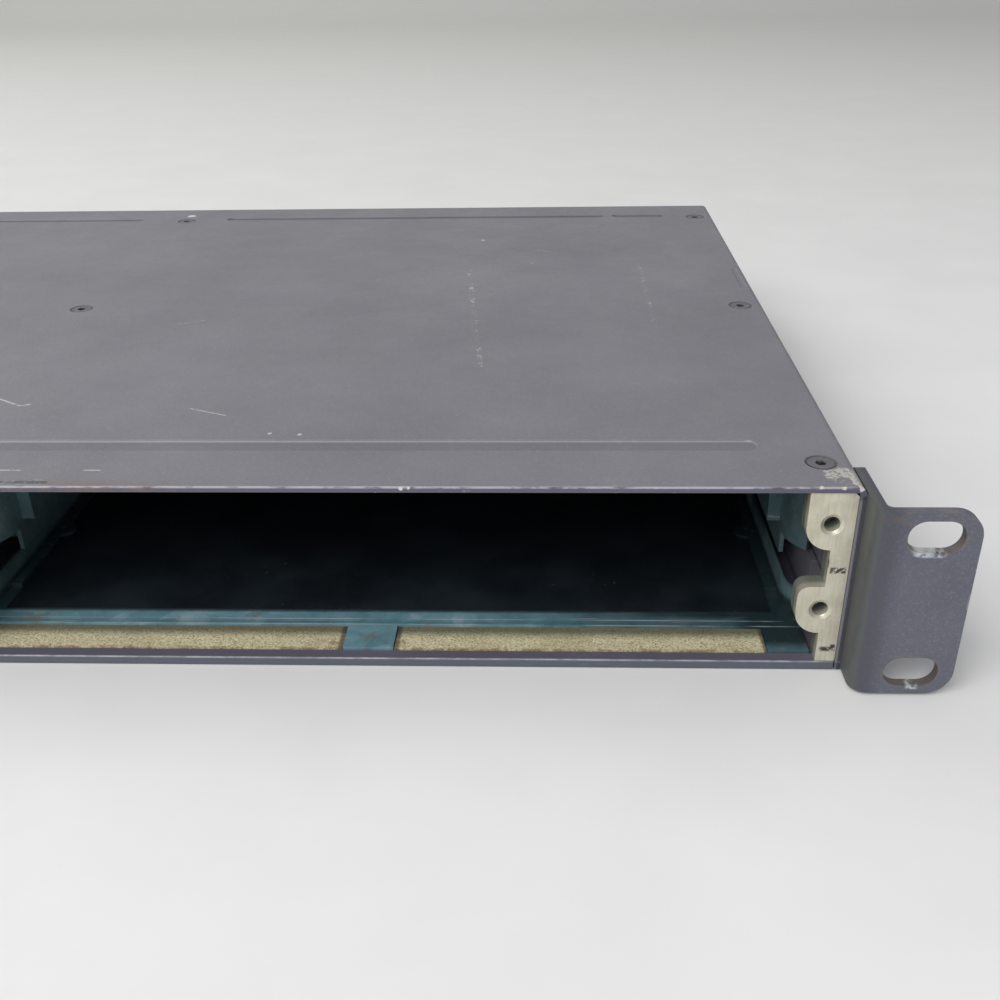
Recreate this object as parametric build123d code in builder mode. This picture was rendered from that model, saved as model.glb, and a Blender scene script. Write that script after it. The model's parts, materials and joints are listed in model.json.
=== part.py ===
"""Firewall appliance, one rack unit high: a wrap cover over a base pan, with an empty module bay on the right
and the board, power supply and fans on the left.

Millimetres. X runs to the right, Y from the front to the back, Z up. The origin is at the centre of the
bounding box's bottom face, so the base pan rests on Z = 0.
"""

import math
import os

from build123d import *

os.makedirs("parts", exist_ok=True)

# Chassis
chassis_width = 442.0
chassis_depth = 240.0
chassis_height = 44.2
cover_sheet = 1.2
base_sheet = 1.6
inner_sheet = 1.2
rail_sheet = 1.0
fit_gap = 0.3

# Rack ears, for a 19-inch rack
rack_width = 482.6
slot_spacing_x = 465.1
slot_spacing_z = 31.75
slot_length = 11.0
slot_height = 7.0
ear_sheet = 2.2
ear_height = 42.6
ear_reach = 8.6
ear_leg_back = 12.0
ear_bend_radius = 3.5
ear_corner_radius = 5.5

# Earth stud, the piece that stands out furthest at the back
earth_stud_reach = 8.0

half_width = chassis_width / 2
inner_half = half_width - cover_sheet
front = (ear_reach - chassis_depth - earth_stud_reach) / 2
rear = front + chassis_depth
cover_under = chassis_height - cover_sheet
mid_height = chassis_height / 2

# Module bay
bay_centre = 118.7
bracket_outer = inner_half - 0.1
bracket_web_inner = 215.5
bracket_lobe_inner = 210.1
bracket_hole_x = 215.2
bracket_hole_heights = (15.3, 35.6)
bracket_front = 0.4
bracket_thickness = 4.5
bracket_tongue_depth = 9.0
bracket_hole_radius = 1.65
bay_back = 204.0
divider_left = 2 * bay_centre - bracket_outer - inner_sheet
divider_right = divider_left + inner_sheet

# Screws through the sides, which hold the ears and the brackets
side_screw_depth = 7.0
side_screw_heights = (10.5, 30.5)
side_screw_radius = 2.0

# Screw places on the cover, from the front edge
cover_screw_rows = (11.4, 115.0, 222.0)
cover_screw_columns = (-214.3, 20.0, 214.3)
cover_screw_radius = 1.75
cover_head_radius = 3.0
cover_screw_angle = 112
screw_seat_gap = 0.3


def at(depth):
    """Y of a place that lies this far behind the chassis front."""
    return front + depth


def block(x, y, z, mode=Mode.ADD):
    """A box between the given low and high x, depth behind the front, and z."""
    centre = ((x[0] + x[1]) / 2, at((y[0] + y[1]) / 2), (z[0] + z[1]) / 2)
    with Locations(centre):
        Box(x[1] - x[0], y[1] - y[0], z[1] - z[0], mode=mode)


def rod_y(x, z, radius, y, mode=Mode.ADD):
    """A round bar along Y, between two depths behind the front."""
    with Locations(Location((x, at((y[0] + y[1]) / 2), z), (90, 0, 0))):
        Cylinder(radius, y[1] - y[0], mode=mode)


def rod_z(x, y, radius, z, mode=Mode.ADD):
    """A round bar along Z, between two heights."""
    with Locations((x, at(y), (z[0] + z[1]) / 2)):
        Cylinder(radius, z[1] - z[0], mode=mode)


def rod_x(y, z, radius, x, mode=Mode.ADD):
    """A round bar along X, between two places across."""
    with Locations(Location(((x[0] + x[1]) / 2, at(y), z), (0, 90, 0))):
        Cylinder(radius, x[1] - x[0], mode=mode)


def mirrored(x):
    """The place on the other side of the module bay."""
    return 2 * bay_centre - x


# ---------------------------------------------------------------- wrap cover
groove_depth = 0.35
groove_slope = 50
front_groove = (19.8, 4.8)
rear_groove = (224.6, 3.4)
groove_end = 202.5
rear_groove_spans = ((-groove_end, -183.5), (-179.8, 2.2), (35.4, 179.8), (183.5, groove_end))
side_groove_x = 218.2
side_groove_width = 1.0
side_groove_span = (133.0, 151.6)
cover_bend_radius = 1.8
vent_slot = (3.0, 9.6)
vent_rows = (12.0, 30.0)
vent_pitch = 7.0
vent_count = 14
vent_start = 108.0


def groove(x_span, y_span, z_top, depth):
    """A shallow round-ended channel with sloping walls, pressed into a flat top."""
    length = x_span[1] - x_span[0]
    width = y_span[1] - y_span[0]
    centre = ((x_span[0] + x_span[1]) / 2, at((y_span[0] + y_span[1]) / 2))
    with BuildSketch(Plane.XY.offset(z_top - depth)) as channel:
        with Locations(centre):
            if length > width:
                SlotOverall(length, width)
            else:
                SlotOverall(width, length, rotation=90)
    extrude(channel.sketch, amount=1.5 * depth, taper=-groove_slope, mode=Mode.SUBTRACT)


with BuildPart() as wrap_cover:
    with BuildSketch(Plane.XZ.offset(-front)):
        with BuildLine():
            FilletPolyline(
                (-half_width, fit_gap),
                (-half_width, chassis_height),
                (half_width, chassis_height),
                (half_width, fit_gap),
                radius=cover_bend_radius,
            )
            Line((half_width, fit_gap), (inner_half, fit_gap))
            FilletPolyline(
                (inner_half, fit_gap),
                (inner_half, cover_under),
                (-inner_half, cover_under),
                (-inner_half, fit_gap),
                radius=cover_bend_radius - cover_sheet,
            )
            Line((-inner_half, fit_gap), (-half_width, fit_gap))
        make_face()
    extrude(amount=-chassis_depth)
    groove(
        (-groove_end, groove_end),
        (front_groove[0] - front_groove[1] / 2, front_groove[0] + front_groove[1] / 2),
        chassis_height,
        groove_depth,
    )
    for span in rear_groove_spans:
        groove(
            span,
            (rear_groove[0] - rear_groove[1] / 2, rear_groove[0] + rear_groove[1] / 2),
            chassis_height,
            groove_depth,
        )
    for side in (-1, 1):
        groove(
            (side * side_groove_x - side_groove_width / 2, side * side_groove_x + side_groove_width / 2),
            side_groove_span,
            chassis_height,
            groove_depth,
        )
    with Locations(*[(x, at(y), chassis_height) for x in cover_screw_columns for y in cover_screw_rows]):
        CounterSinkHole(
            cover_screw_radius + 0.1,
            cover_head_radius + screw_seat_gap,
            counter_sink_angle=cover_screw_angle,
        )
    for row in vent_rows:
        for k in range(vent_count):
            block(
                (-half_width - 1, -inner_half + 1),
                (vent_start + k * vent_pitch, vent_start + k * vent_pitch + vent_slot[0]),
                (row, row + vent_slot[1]),
                Mode.SUBTRACT,
            )
    for height in side_screw_heights:
        side_hole_span = (-half_width - 1, half_width + 1)
        rod_x(side_screw_depth, height, side_screw_radius + 0.1, side_hole_span, Mode.SUBTRACT)
wrap_cover.part.label = "wrap_cover"
export_step(wrap_cover.part, "parts/wrap_cover.step")

# ---------------------------------------------------------------- base pan
pan_half = inner_half - fit_gap
lip_depth = 3.0
lip_height = 2.2
pan_flange_height = 14.0
pan_flange_start = 16.0

with BuildPart() as base_pan:
    block((-pan_half, pan_half), (0, chassis_depth), (0, base_sheet))
    block((-pan_half, pan_half), (0, lip_depth), (0, lip_height))
    for side in (-1, 1):
        low, high = sorted((side * pan_half, side * (pan_half - inner_sheet)))
        block((low, high), (pan_flange_start, chassis_depth - 2), (base_sheet, pan_flange_height))
    fillet(base_pan.edges().filter_by(Axis.X).group_by(Axis.Y)[0], 0.5)
base_pan.part.label = "base_pan"
export_step(base_pan.part, "parts/base_pan.step")

# ---------------------------------------------------------------- fans: sizes
fan_size = 40.0
fan_depth = 28.0
fan_rim = 1.0
fan_centre_z = base_sheet + fan_size / 2
fan_columns = (-102.0, -54.0)
fan_screw_inset = 4.0
fan_screw_radius = 1.9
grille_rings = ((6.0, 6), (10.5, 11), (15.0, 16))
grille_hole_radius = 1.75

# ---------------------------------------------------------------- rear panel
panel_half = pan_half - inner_sheet - fit_gap
rear_panel_front = chassis_depth - inner_sheet
rear_flange_depth = 23.0
rear_panel_top = cover_under
psu_window = ((-215.5, -139.0), (4.0, 39.2))
earth_place = (-8.0, 14.0)
earth_stud_radius = 2.0
earth_neck_radius = 2.2
bay_vent_pitch = 6.0
bay_vent_columns = 26
bay_vent_rows = 4


def fan_grille(x, z, y):
    """Rings of round air holes in front of one fan."""
    for ring_radius, count in grille_rings:
        for k in range(count):
            angle = 2 * math.pi * k / count
            hole_x = x + ring_radius * math.cos(angle)
            hole_z = z + ring_radius * math.sin(angle)
            rod_y(hole_x, hole_z, grille_hole_radius, y, Mode.SUBTRACT)
    rod_y(x, z, grille_hole_radius, y, Mode.SUBTRACT)


def fan_screw_places(x, z, size):
    """The four corners where a fan of this size is screwed."""
    half = size / 2 - fan_screw_inset
    return [(x + sx * half, z + sz * half) for sx in (-1, 1) for sz in (-1, 1)]


with BuildPart() as rear_panel:
    block((-panel_half, panel_half), (rear_panel_front, chassis_depth), (base_sheet, rear_panel_top))
    block(
        (-panel_half, panel_half),
        (chassis_depth - rear_flange_depth, rear_panel_front),
        (rear_panel_top - inner_sheet, rear_panel_top),
    )
    block(psu_window[0], (rear_panel_front - 1, chassis_depth + 1), psu_window[1], Mode.SUBTRACT)
    panel_span = (rear_panel_front - 1, chassis_depth + 1)
    for column in fan_columns:
        fan_grille(column, fan_centre_z, panel_span)
        for screw_x, screw_z in fan_screw_places(column, fan_centre_z, fan_size):
            rod_y(screw_x, screw_z, fan_screw_radius + 0.1, panel_span, Mode.SUBTRACT)
    rod_y(*earth_place, earth_neck_radius + 0.1, panel_span, Mode.SUBTRACT)
    with Locations(Location((bay_centre, at(chassis_depth - inner_sheet / 2), mid_height), (90, 0, 0))):
        with GridLocations(bay_vent_pitch, bay_vent_pitch, bay_vent_columns, bay_vent_rows):
            Cylinder(1.9, 2 * inner_sheet, mode=Mode.SUBTRACT)
    with Locations(*[(x, at(cover_screw_rows[2]), rear_panel_top) for x in cover_screw_columns]):
        Hole(cover_screw_radius, depth=2 * inner_sheet)
rear_panel.part.label = "rear_panel"
export_step(rear_panel.part, "parts/rear_panel.step")

# ---------------------------------------------------------------- module bay floor
floor_half = bracket_web_inner - 0.6 - bay_centre
floor_front = 3.3
floor_back = 236.0
floor_top = base_sheet + inner_sheet
window_inner = 5.6
window_outer = 87.4
window_back = 11.9
bead_depths = (13.3, 13.9)

with BuildPart() as bay_floor:
    block(
        (bay_centre - floor_half, bay_centre + floor_half),
        (floor_front, floor_back),
        (base_sheet, floor_top),
    )
    for side in (-1, 1):
        low, high = sorted((bay_centre + side * window_inner, bay_centre + side * window_outer))
        block((low, high), (floor_front - 1, window_back), (0, floor_top + 1), Mode.SUBTRACT)
    block(
        (bay_centre - window_outer, bay_centre + window_outer),
        bead_depths,
        (floor_top - 0.25, floor_top + 1),
        Mode.SUBTRACT,
    )
bay_floor.part.label = "bay_floor"
export_step(bay_floor.part, "parts/bay_floor.step")

gasket_top = floor_top - 0.4
gasket_gap = 0.15
with BuildPart() as floor_gaskets:
    for side in (-1, 1):
        low, high = sorted((bay_centre + side * window_inner, bay_centre + side * window_outer))
        block(
            (low + gasket_gap, high - gasket_gap),
            (floor_front, window_back - gasket_gap),
            (base_sheet, gasket_top),
        )
floor_gaskets.part.label = "floor_gaskets"
export_step(floor_gaskets.part, "parts/floor_gaskets.step")

# ---------------------------------------------------------------- divider between the two halves
divider_front = 3.1
divider_back = 216.0
divider_flange = 8.0

with BuildPart() as bay_divider:
    block((divider_left, divider_right), (divider_front, divider_back), (base_sheet, cover_under))
    block(
        (divider_left, divider_right + divider_flange),
        (bracket_front + bracket_tongue_depth + fit_gap, divider_back),
        (cover_under - inner_sheet, cover_under),
    )
    block(
        (divider_left - divider_flange, divider_left),
        (12, divider_back),
        (base_sheet, base_sheet + inner_sheet),
    )
    for height in side_screw_heights:
        rod_x(
            side_screw_depth,
            height,
            side_screw_radius + 0.05,
            (divider_left - 1, divider_right + 1),
            Mode.SUBTRACT,
        )
    for row in cover_screw_rows[:2]:
        rod_z(cover_screw_columns[1], row, cover_screw_radius, (40, 44), Mode.SUBTRACT)
bay_divider.part.label = "bay_divider"
export_step(bay_divider.part, "parts/bay_divider.step")

# ---------------------------------------------------------------- front brackets of the bay
bracket_top = cover_under - 0.2
bracket_bottom = lip_height
bracket_corner = 0.8
lobe_radius = 5.3
lobe_corner = 2.4
upper_lobe_bottom = 29.7
lower_lobe = (9.4, 20.9)
bracket_countersink = 2.4


lobe_left = bracket_lobe_inner
lobe_right = bracket_lobe_inner + lobe_radius
corner_right = bracket_lobe_inner + lobe_corner
upper_arc_top = upper_lobe_bottom + lobe_radius
lower_arc_top = lower_lobe[0] + lobe_radius
corner_bottom = lower_lobe[1] - lobe_corner

with BuildPart() as bay_bracket_right:
    with BuildSketch(Plane.XZ.offset(-at(bracket_front))):
        with BuildLine():
            Polyline(
                (bracket_web_inner, bracket_bottom),
                (bracket_outer, bracket_bottom),
                (bracket_outer, bracket_top - bracket_corner),
                (bracket_outer - bracket_corner, bracket_top),
                (lobe_left, bracket_top),
                (lobe_left, upper_arc_top),
            )
            RadiusArc((lobe_left, upper_arc_top), (lobe_right, upper_lobe_bottom), -lobe_radius)
            Polyline(
                (lobe_right, upper_lobe_bottom),
                (bracket_web_inner, upper_lobe_bottom),
                (bracket_web_inner, lower_lobe[1]),
                (corner_right, lower_lobe[1]),
            )
            RadiusArc((corner_right, lower_lobe[1]), (lobe_left, corner_bottom), -lobe_corner)
            Line((lobe_left, corner_bottom), (lobe_left, lower_arc_top))
            RadiusArc((lobe_left, lower_arc_top), (lobe_right, lower_lobe[0]), -lobe_radius)
            Polyline(
                (lobe_right, lower_lobe[0]),
                (bracket_web_inner, lower_lobe[0]),
                (bracket_web_inner, bracket_bottom),
            )
        make_face()
    extrude(amount=-bracket_thickness)
    block(
        (bracket_outer - 2.8, bracket_outer),
        (bracket_front + bracket_thickness, bracket_front + bracket_tongue_depth),
        (bracket_bottom, bracket_top - bracket_corner),
    )
    for height in bracket_hole_heights:
        with Locations(Location((bracket_hole_x, at(bracket_front), height), (90, 0, 0))):
            CounterSinkHole(
                bracket_hole_radius,
                bracket_countersink,
                depth=2 * bracket_thickness,
                counter_sink_angle=120,
            )
    for height in side_screw_heights:
        rod_x(
            side_screw_depth,
            height,
            side_screw_radius + 0.05,
            (bracket_outer - 4, bracket_outer + 1),
            Mode.SUBTRACT,
        )
bay_bracket_right.part.label = "bay_bracket_right"
export_step(bay_bracket_right.part, "parts/bay_bracket_right.step")

bay_mirror = Plane.YZ.offset(bay_centre)
with BuildPart() as bay_bracket_left:
    add(bay_bracket_right.part)
    mirror(about=bay_mirror, mode=Mode.REPLACE)
bay_bracket_left.part.label = "bay_bracket_left"
export_step(bay_bracket_left.part, "parts/bay_bracket_left.step")

# ---------------------------------------------------------------- module guides on both sides of the bay
guide_wall = 213.5
guide_block = 210.5
guide_bottom = 9.3
block_bottom = 16.5
mouth_depth = 34.0
block_front = 36.5
mouth_radius = 12.0
mouth_angle = 48.0
mouth_bottom = 15.0
guide_flange = (guide_block, 216.3)
guide_start = 10.2
upper_left_shift = 6.0
lower_left_shift = 3.0


def opposite(x):
    """The place on the left guide that answers to x on the right one."""
    return mirrored(x) + upper_left_shift


with BuildPart() as upper_guide_right:
    guide_top = cover_under - inner_sheet
    block(guide_flange, (guide_start, divider_back), (guide_top, cover_under))
    block((guide_wall, guide_wall + rail_sheet), (mouth_depth, divider_back), (guide_bottom, guide_top))
    block((guide_block, guide_block + rail_sheet), (block_front, divider_back), (block_bottom, guide_top))
    block((guide_block, guide_wall), (block_front, block_front + rail_sheet), (block_bottom, guide_top))
    block((guide_block, guide_wall), (block_front, divider_back), (block_bottom, block_bottom + rail_sheet))
    block(
        (guide_wall, pan_half - inner_sheet - 0.05),
        (mouth_depth + 6, divider_back),
        (guide_bottom, guide_bottom + rail_sheet),
    )
    with BuildSketch(Plane.XY.offset(mouth_bottom)):
        mouth_centre = (guide_wall + mouth_radius, at(mouth_depth))
        with BuildLine():
            inner_mouth = CenterArc(mouth_centre, mouth_radius, 180, mouth_angle)
            outer_mouth = CenterArc(mouth_centre, mouth_radius - rail_sheet, 180, mouth_angle)
            Line(inner_mouth @ 0, outer_mouth @ 0)
            Line(inner_mouth @ 1, outer_mouth @ 1)
        make_face()
    extrude(amount=guide_top - mouth_bottom)
    rod_z(cover_screw_columns[2], cover_screw_rows[1], cover_screw_radius, (40, 44), Mode.SUBTRACT)
    rod_z(cover_screw_columns[2], cover_screw_rows[0], cover_screw_radius, (40, 44), Mode.SUBTRACT)
upper_guide_right.part.label = "upper_guide_right"
export_step(upper_guide_right.part, "parts/upper_guide_right.step")

with BuildPart() as upper_guide_left:
    block(
        (divider_right + divider_flange + fit_gap, opposite(guide_block)),
        (guide_start, divider_back),
        (guide_top, cover_under),
    )
    block(
        (opposite(guide_wall + rail_sheet), opposite(guide_wall)),
        (mouth_depth, divider_back),
        (guide_bottom, guide_top),
    )
    block(
        (opposite(guide_block + rail_sheet), opposite(guide_block)),
        (block_front, divider_back),
        (block_bottom, guide_top),
    )
    block(
        (opposite(guide_wall), opposite(guide_block)),
        (block_front, block_front + rail_sheet),
        (block_bottom, guide_top),
    )
    block(
        (opposite(guide_wall), opposite(guide_block)),
        (block_front, divider_back),
        (block_bottom, block_bottom + rail_sheet),
    )
    block(
        (divider_right, opposite(guide_wall)),
        (mouth_depth + 6, divider_back),
        (guide_bottom, guide_bottom + rail_sheet),
    )
    with BuildSketch(Plane.XY.offset(mouth_bottom)):
        left_mouth_centre = (opposite(guide_wall + mouth_radius), at(mouth_depth))
        with BuildLine():
            left_inner = CenterArc(left_mouth_centre, mouth_radius, 0, -mouth_angle)
            left_outer = CenterArc(left_mouth_centre, mouth_radius - rail_sheet, 0, -mouth_angle)
            Line(left_inner @ 0, left_outer @ 0)
            Line(left_inner @ 1, left_outer @ 1)
        make_face()
    extrude(amount=guide_top - mouth_bottom)
upper_guide_left.part.label = "upper_guide_left"
export_step(upper_guide_left.part, "parts/upper_guide_left.step")

# Lower guide rails, an angle on the bay floor with a flared mouth and riveted feet
rail_upright = 212.3
rail_inner = 209.6
rail_top = 8.0
rail_mouth_depth = 25.0
rail_mouth_radius = 8.0
rail_feet = (54.0, 122.0, 192.0)
rail_foot_radius = 3.0
rivet_hole_radius = 1.0

with BuildPart() as lower_guide_right:
    block((rail_upright, rail_upright + rail_sheet), (rail_mouth_depth, bay_back), (floor_top, rail_top))
    block((rail_inner, rail_upright), (rail_mouth_depth + 2, bay_back), (floor_top, floor_top + rail_sheet))
    with BuildSketch(Plane.XY.offset(floor_top)):
        rail_mouth_centre = (rail_upright + rail_mouth_radius, at(rail_mouth_depth))
        with BuildLine():
            rail_inner_arc = CenterArc(rail_mouth_centre, rail_mouth_radius, 180, mouth_angle)
            rail_outer_arc = CenterArc(rail_mouth_centre, rail_mouth_radius - rail_sheet, 180, mouth_angle)
            Line(rail_inner_arc @ 0, rail_outer_arc @ 0)
            Line(rail_inner_arc @ 1, rail_outer_arc @ 1)
        make_face()
    extrude(amount=rail_top - floor_top)
    for foot in rail_feet:
        rod_z(rail_inner, foot, rail_foot_radius, (floor_top, floor_top + rail_sheet))
    for foot in rail_feet:
        rod_z(rail_inner, foot, rivet_hole_radius, (floor_top - 1, floor_top + 2), Mode.SUBTRACT)
lower_guide_right.part.label = "lower_guide_right"
export_step(lower_guide_right.part, "parts/lower_guide_right.step")

rail_mirror = Plane.YZ.offset(bay_centre + lower_left_shift / 2)
with BuildPart() as lower_guide_left:
    add(lower_guide_right.part)
    mirror(about=rail_mirror, mode=Mode.REPLACE)
lower_guide_left.part.label = "lower_guide_left"
export_step(lower_guide_left.part, "parts/lower_guide_left.step")

# Black film on the floor between the rails, notched round their feet
film_front = 17.7
film_thickness = 0.25
rail_inner_left = mirrored(rail_inner) + lower_left_shift
with BuildPart() as floor_film:
    block(
        (rail_inner_left + fit_gap, rail_inner - fit_gap),
        (film_front, bay_back - 2),
        (floor_top, floor_top + film_thickness),
    )
    for x in (rail_inner_left, rail_inner):
        for foot in rail_feet:
            rod_z(x, foot, rail_foot_radius + fit_gap, (floor_top - 1, floor_top + 1), Mode.SUBTRACT)
floor_film.part.label = "floor_film"
export_step(floor_film.part, "parts/floor_film.step")

# ---------------------------------------------------------------- rack ears
ear_bottom = mid_height - ear_height / 2
ear_outer = rack_width / 2
ear_screw_head_radius = 3.9
ear_leg_corner_radius = 1.6

with BuildPart() as rack_ear_right:
    with BuildSketch(Plane.XY.offset(ear_bottom)):
        with BuildLine():
            FilletPolyline(
                (half_width, at(ear_leg_back)),
                (half_width, at(-ear_reach)),
                (ear_outer, at(-ear_reach)),
                radius=ear_bend_radius,
            )
            Line((ear_outer, at(-ear_reach)), (ear_outer, at(ear_sheet - ear_reach)))
            FilletPolyline(
                (ear_outer, at(ear_sheet - ear_reach)),
                (half_width + ear_sheet, at(ear_sheet - ear_reach)),
                (half_width + ear_sheet, at(ear_leg_back)),
                radius=ear_bend_radius - ear_sheet,
            )
            Line((half_width + ear_sheet, at(ear_leg_back)), (half_width, at(ear_leg_back)))
        make_face()
    extrude(amount=ear_height)
    fillet(rack_ear_right.edges().filter_by(Axis.Y).group_by(Axis.X)[-1], ear_corner_radius)
    fillet(rack_ear_right.edges().filter_by(Axis.X).group_by(Axis.Y)[-1], ear_leg_corner_radius)
    with BuildSketch(Plane.XZ.offset(-at(-ear_reach))):
        with Locations(
            (slot_spacing_x / 2, mid_height - slot_spacing_z / 2),
            (slot_spacing_x / 2, mid_height + slot_spacing_z / 2),
        ):
            SlotOverall(slot_length, slot_height)
    extrude(amount=-ear_sheet, mode=Mode.SUBTRACT)
    with Locations(
        *[
            Location((half_width + ear_sheet, at(side_screw_depth), height), (0, 90, 0))
            for height in side_screw_heights
        ]
    ):
        CounterSinkHole(
            side_screw_radius + 0.1,
            ear_screw_head_radius + screw_seat_gap,
            counter_sink_angle=90,
        )
rack_ear_right.part.label = "rack_ear_right"
export_step(rack_ear_right.part, "parts/rack_ear_right.step")

with BuildPart() as rack_ear_left:
    add(rack_ear_right.part)
    mirror(about=Plane.YZ, mode=Mode.REPLACE)
rack_ear_left.part.label = "rack_ear_left"
export_step(rack_ear_left.part, "parts/rack_ear_left.step")

# ---------------------------------------------------------------- screws
socket_width = 2.5
socket_depth = 1.2
head_recess = 0.1
cover_screw_length = 2.8


def flat_head_screw(frame, head_radius, shank_radius, length, angle):
    """Countersunk screw whose flat head faces out along the frame's Z, with a hexagon socket."""
    cone = (head_radius - shank_radius) / math.tan(math.radians(angle / 2))
    with BuildSketch(frame.offset(-cone)) as shank_end:
        Circle(shank_radius)
    with BuildSketch(frame) as head_face:
        Circle(head_radius)
    loft([shank_end.sketch, head_face.sketch])
    extrude(shank_end.sketch, amount=-(length - cone))
    with BuildSketch(frame.offset(-socket_depth)) as socket:
        RegularPolygon(socket_width / 2, 6)
    extrude(socket.sketch, amount=2 * socket_depth, mode=Mode.SUBTRACT)


with BuildPart() as cover_screws:
    for column in cover_screw_columns:
        for row in cover_screw_rows:
            frame = Plane(origin=(column, at(row), chassis_height - head_recess), z_dir=(0, 0, 1))
            flat_head_screw(
                frame,
                cover_head_radius,
                cover_screw_radius - 0.05,
                cover_screw_length,
                cover_screw_angle,
            )
cover_screws.part.label = "cover_screws"
export_step(cover_screws.part, "parts/cover_screws.step")

ear_screw_length = 5.4
with BuildPart() as ear_screws:
    for side in (-1, 1):
        for height in side_screw_heights:
            head_x = side * (half_width + ear_sheet - head_recess)
            frame = Plane(origin=(head_x, at(side_screw_depth), height), z_dir=(side, 0, 0))
            flat_head_screw(frame, ear_screw_head_radius, side_screw_radius, ear_screw_length, 90)
ear_screws.part.label = "ear_screws"
export_step(ear_screws.part, "parts/ear_screws.step")


def pan_head_screw(frame, head_radius, head_height, shank_radius, length):
    """Pan-head screw with its head standing out along the frame's Z, with a hexagon socket."""
    with BuildSketch(frame) as head_base:
        Circle(head_radius)
    extrude(head_base.sketch, amount=head_height)
    with BuildSketch(frame) as shank_base:
        Circle(shank_radius)
    extrude(shank_base.sketch, amount=-length)
    with BuildSketch(frame.offset(head_height - socket_depth)) as socket:
        RegularPolygon(socket_width / 2, 6)
    extrude(socket.sketch, amount=2 * socket_depth, mode=Mode.SUBTRACT)


with BuildPart() as bracket_screws:
    for height in side_screw_heights:
        frame = Plane(origin=(divider_left, at(side_screw_depth), height), z_dir=(-1, 0, 0))
        pan_head_screw(frame, 3.4, 2.0, side_screw_radius, 3.6)
bracket_screws.part.label = "bracket_screws"
export_step(bracket_screws.part, "parts/bracket_screws.step")

# ---------------------------------------------------------------- main board and what is on it
board_bottom = 8.0
board_top = board_bottom + 1.6
board_left = -213.0
board_right = 12.0
board_front = 5.0
board_step = 84.0
board_back = 180.0
board_wide_left = -130.0
board_fixings = (
    (-208.0, 40.0),
    (-208.0, 79.0),
    (-140.0, 79.0),
    (-70.0, 79.0),
    (4.0, 40.0),
    (4.0, 100.0),
    (4.0, 174.0),
    (-125.0, 174.0),
)

# Sockets along the front panel: x of the centre, and sizes across and up
jack_pitch = 15.9
jack_opening = (11.9, 8.6)
jack_key = (6.4, 3.0)
jack_cavity_depth = 13.0
socket_front = 0.4
lan_columns = 4
lan_left = -66.0
lan_rows = (11.2, 24.6)
lan_block_depth = 25.0
lan_block_top = 38.4
sfp_centres = (-100.0, -82.0)
sfp_opening = (13.9, 8.8)
sfp_depth = 46.0
sfp_wall = 0.6
console_centres = (-151.0, -131.0)
console_half = 8.0
console_height = 13.6
console_depth = 18.0
usb_centre = -174.5
usb_opening = (12.5, 5.2)
usb_heights = (12.4, 20.6)
usb_body = (14.6, 18.2)
usb_depth = 18.0
usb_mouth_depth = 14.0
usb_tongue_half = 5.2
usb_tongue_front = 3.0
usb_tongue_heights = (2.9, 4.6)
panel_front = 0.4
panel_sheet = 1.5
panel_left = -pan_half
panel_right = divider_left - 0.2
panel_top = cover_under - 0.2
port_clearance = 0.25
power_button_place = (-207.0, 28.0)
power_button_radius = 3.8
reset_button_place = (-207.0, 14.0)
reset_button_radius = 1.5
light_column = -194.0
light_heights = (13.0, 19.0, 25.0, 31.0)
light_radius = 1.25

with BuildPart() as main_board:
    with BuildSketch(Plane.XY.offset(board_bottom)):
        with BuildLine():
            Polyline(
                (board_left, at(board_front)),
                (board_right, at(board_front)),
                (board_right, at(board_back)),
                (board_wide_left, at(board_back)),
                (board_wide_left, at(board_step)),
                (board_left, at(board_step)),
                (board_left, at(board_front)),
            )
        make_face()
        with Locations(*[(x, at(y)) for x, y in board_fixings]):
            Circle(1.7, mode=Mode.SUBTRACT)
    extrude(amount=board_top - board_bottom)
main_board.part.label = "main_board"
export_step(main_board.part, "parts/main_board.step")

with BuildPart() as board_standoffs:
    with BuildSketch(Plane.XY.offset(base_sheet)):
        with Locations(*[(x, at(y)) for x, y in board_fixings]):
            RegularPolygon(3.2, 6)
            Circle(1.5, mode=Mode.SUBTRACT)
    extrude(amount=board_bottom - base_sheet)
board_standoffs.part.label = "board_standoffs"
export_step(board_standoffs.part, "parts/board_standoffs.step")

with BuildPart() as board_screws:
    for x, y in board_fixings:
        pan_head_screw(Plane(origin=(x, at(y), board_top), z_dir=(0, 0, 1)), 2.8, 2.0, 1.45, 5.5)
board_screws.part.label = "board_screws"
export_step(board_screws.part, "parts/board_screws.step")

insulator_thickness = 0.3
with BuildPart() as board_insulator:
    block(
        (board_wide_left, board_right - 10),
        (12, board_back),
        (base_sheet, base_sheet + insulator_thickness),
    )
    for x, y in board_fixings:
        rod_z(x, y, 4.0, (0, 4), Mode.SUBTRACT)
board_insulator.part.label = "board_insulator"
export_step(board_insulator.part, "parts/board_insulator.step")


def jack_cavity(x, z, depth):
    """Socket for a modular plug: a rectangle with a narrower key slot above it."""
    half = jack_opening[0] / 2
    key_half = jack_key[0] / 2
    block((x - half, x + half), (socket_front - 1, depth), (z, z + jack_opening[1]), Mode.SUBTRACT)
    key_top = z + jack_opening[1] + jack_key[1] / 2
    block((x - key_half, x + key_half), (socket_front - 1, depth), (z, key_top), Mode.SUBTRACT)


lan_centres = [lan_left + jack_pitch * (k + 0.5) for k in range(lan_columns)]
lan_right = lan_left + jack_pitch * lan_columns
with BuildPart() as ethernet_block:
    block((lan_left, lan_right), (socket_front, lan_block_depth), (board_top, lan_block_top))
    for centre in lan_centres:
        for row in lan_rows:
            jack_cavity(centre, row, jack_cavity_depth)
ethernet_block.part.label = "ethernet_block"
export_step(ethernet_block.part, "parts/ethernet_block.step")

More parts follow.
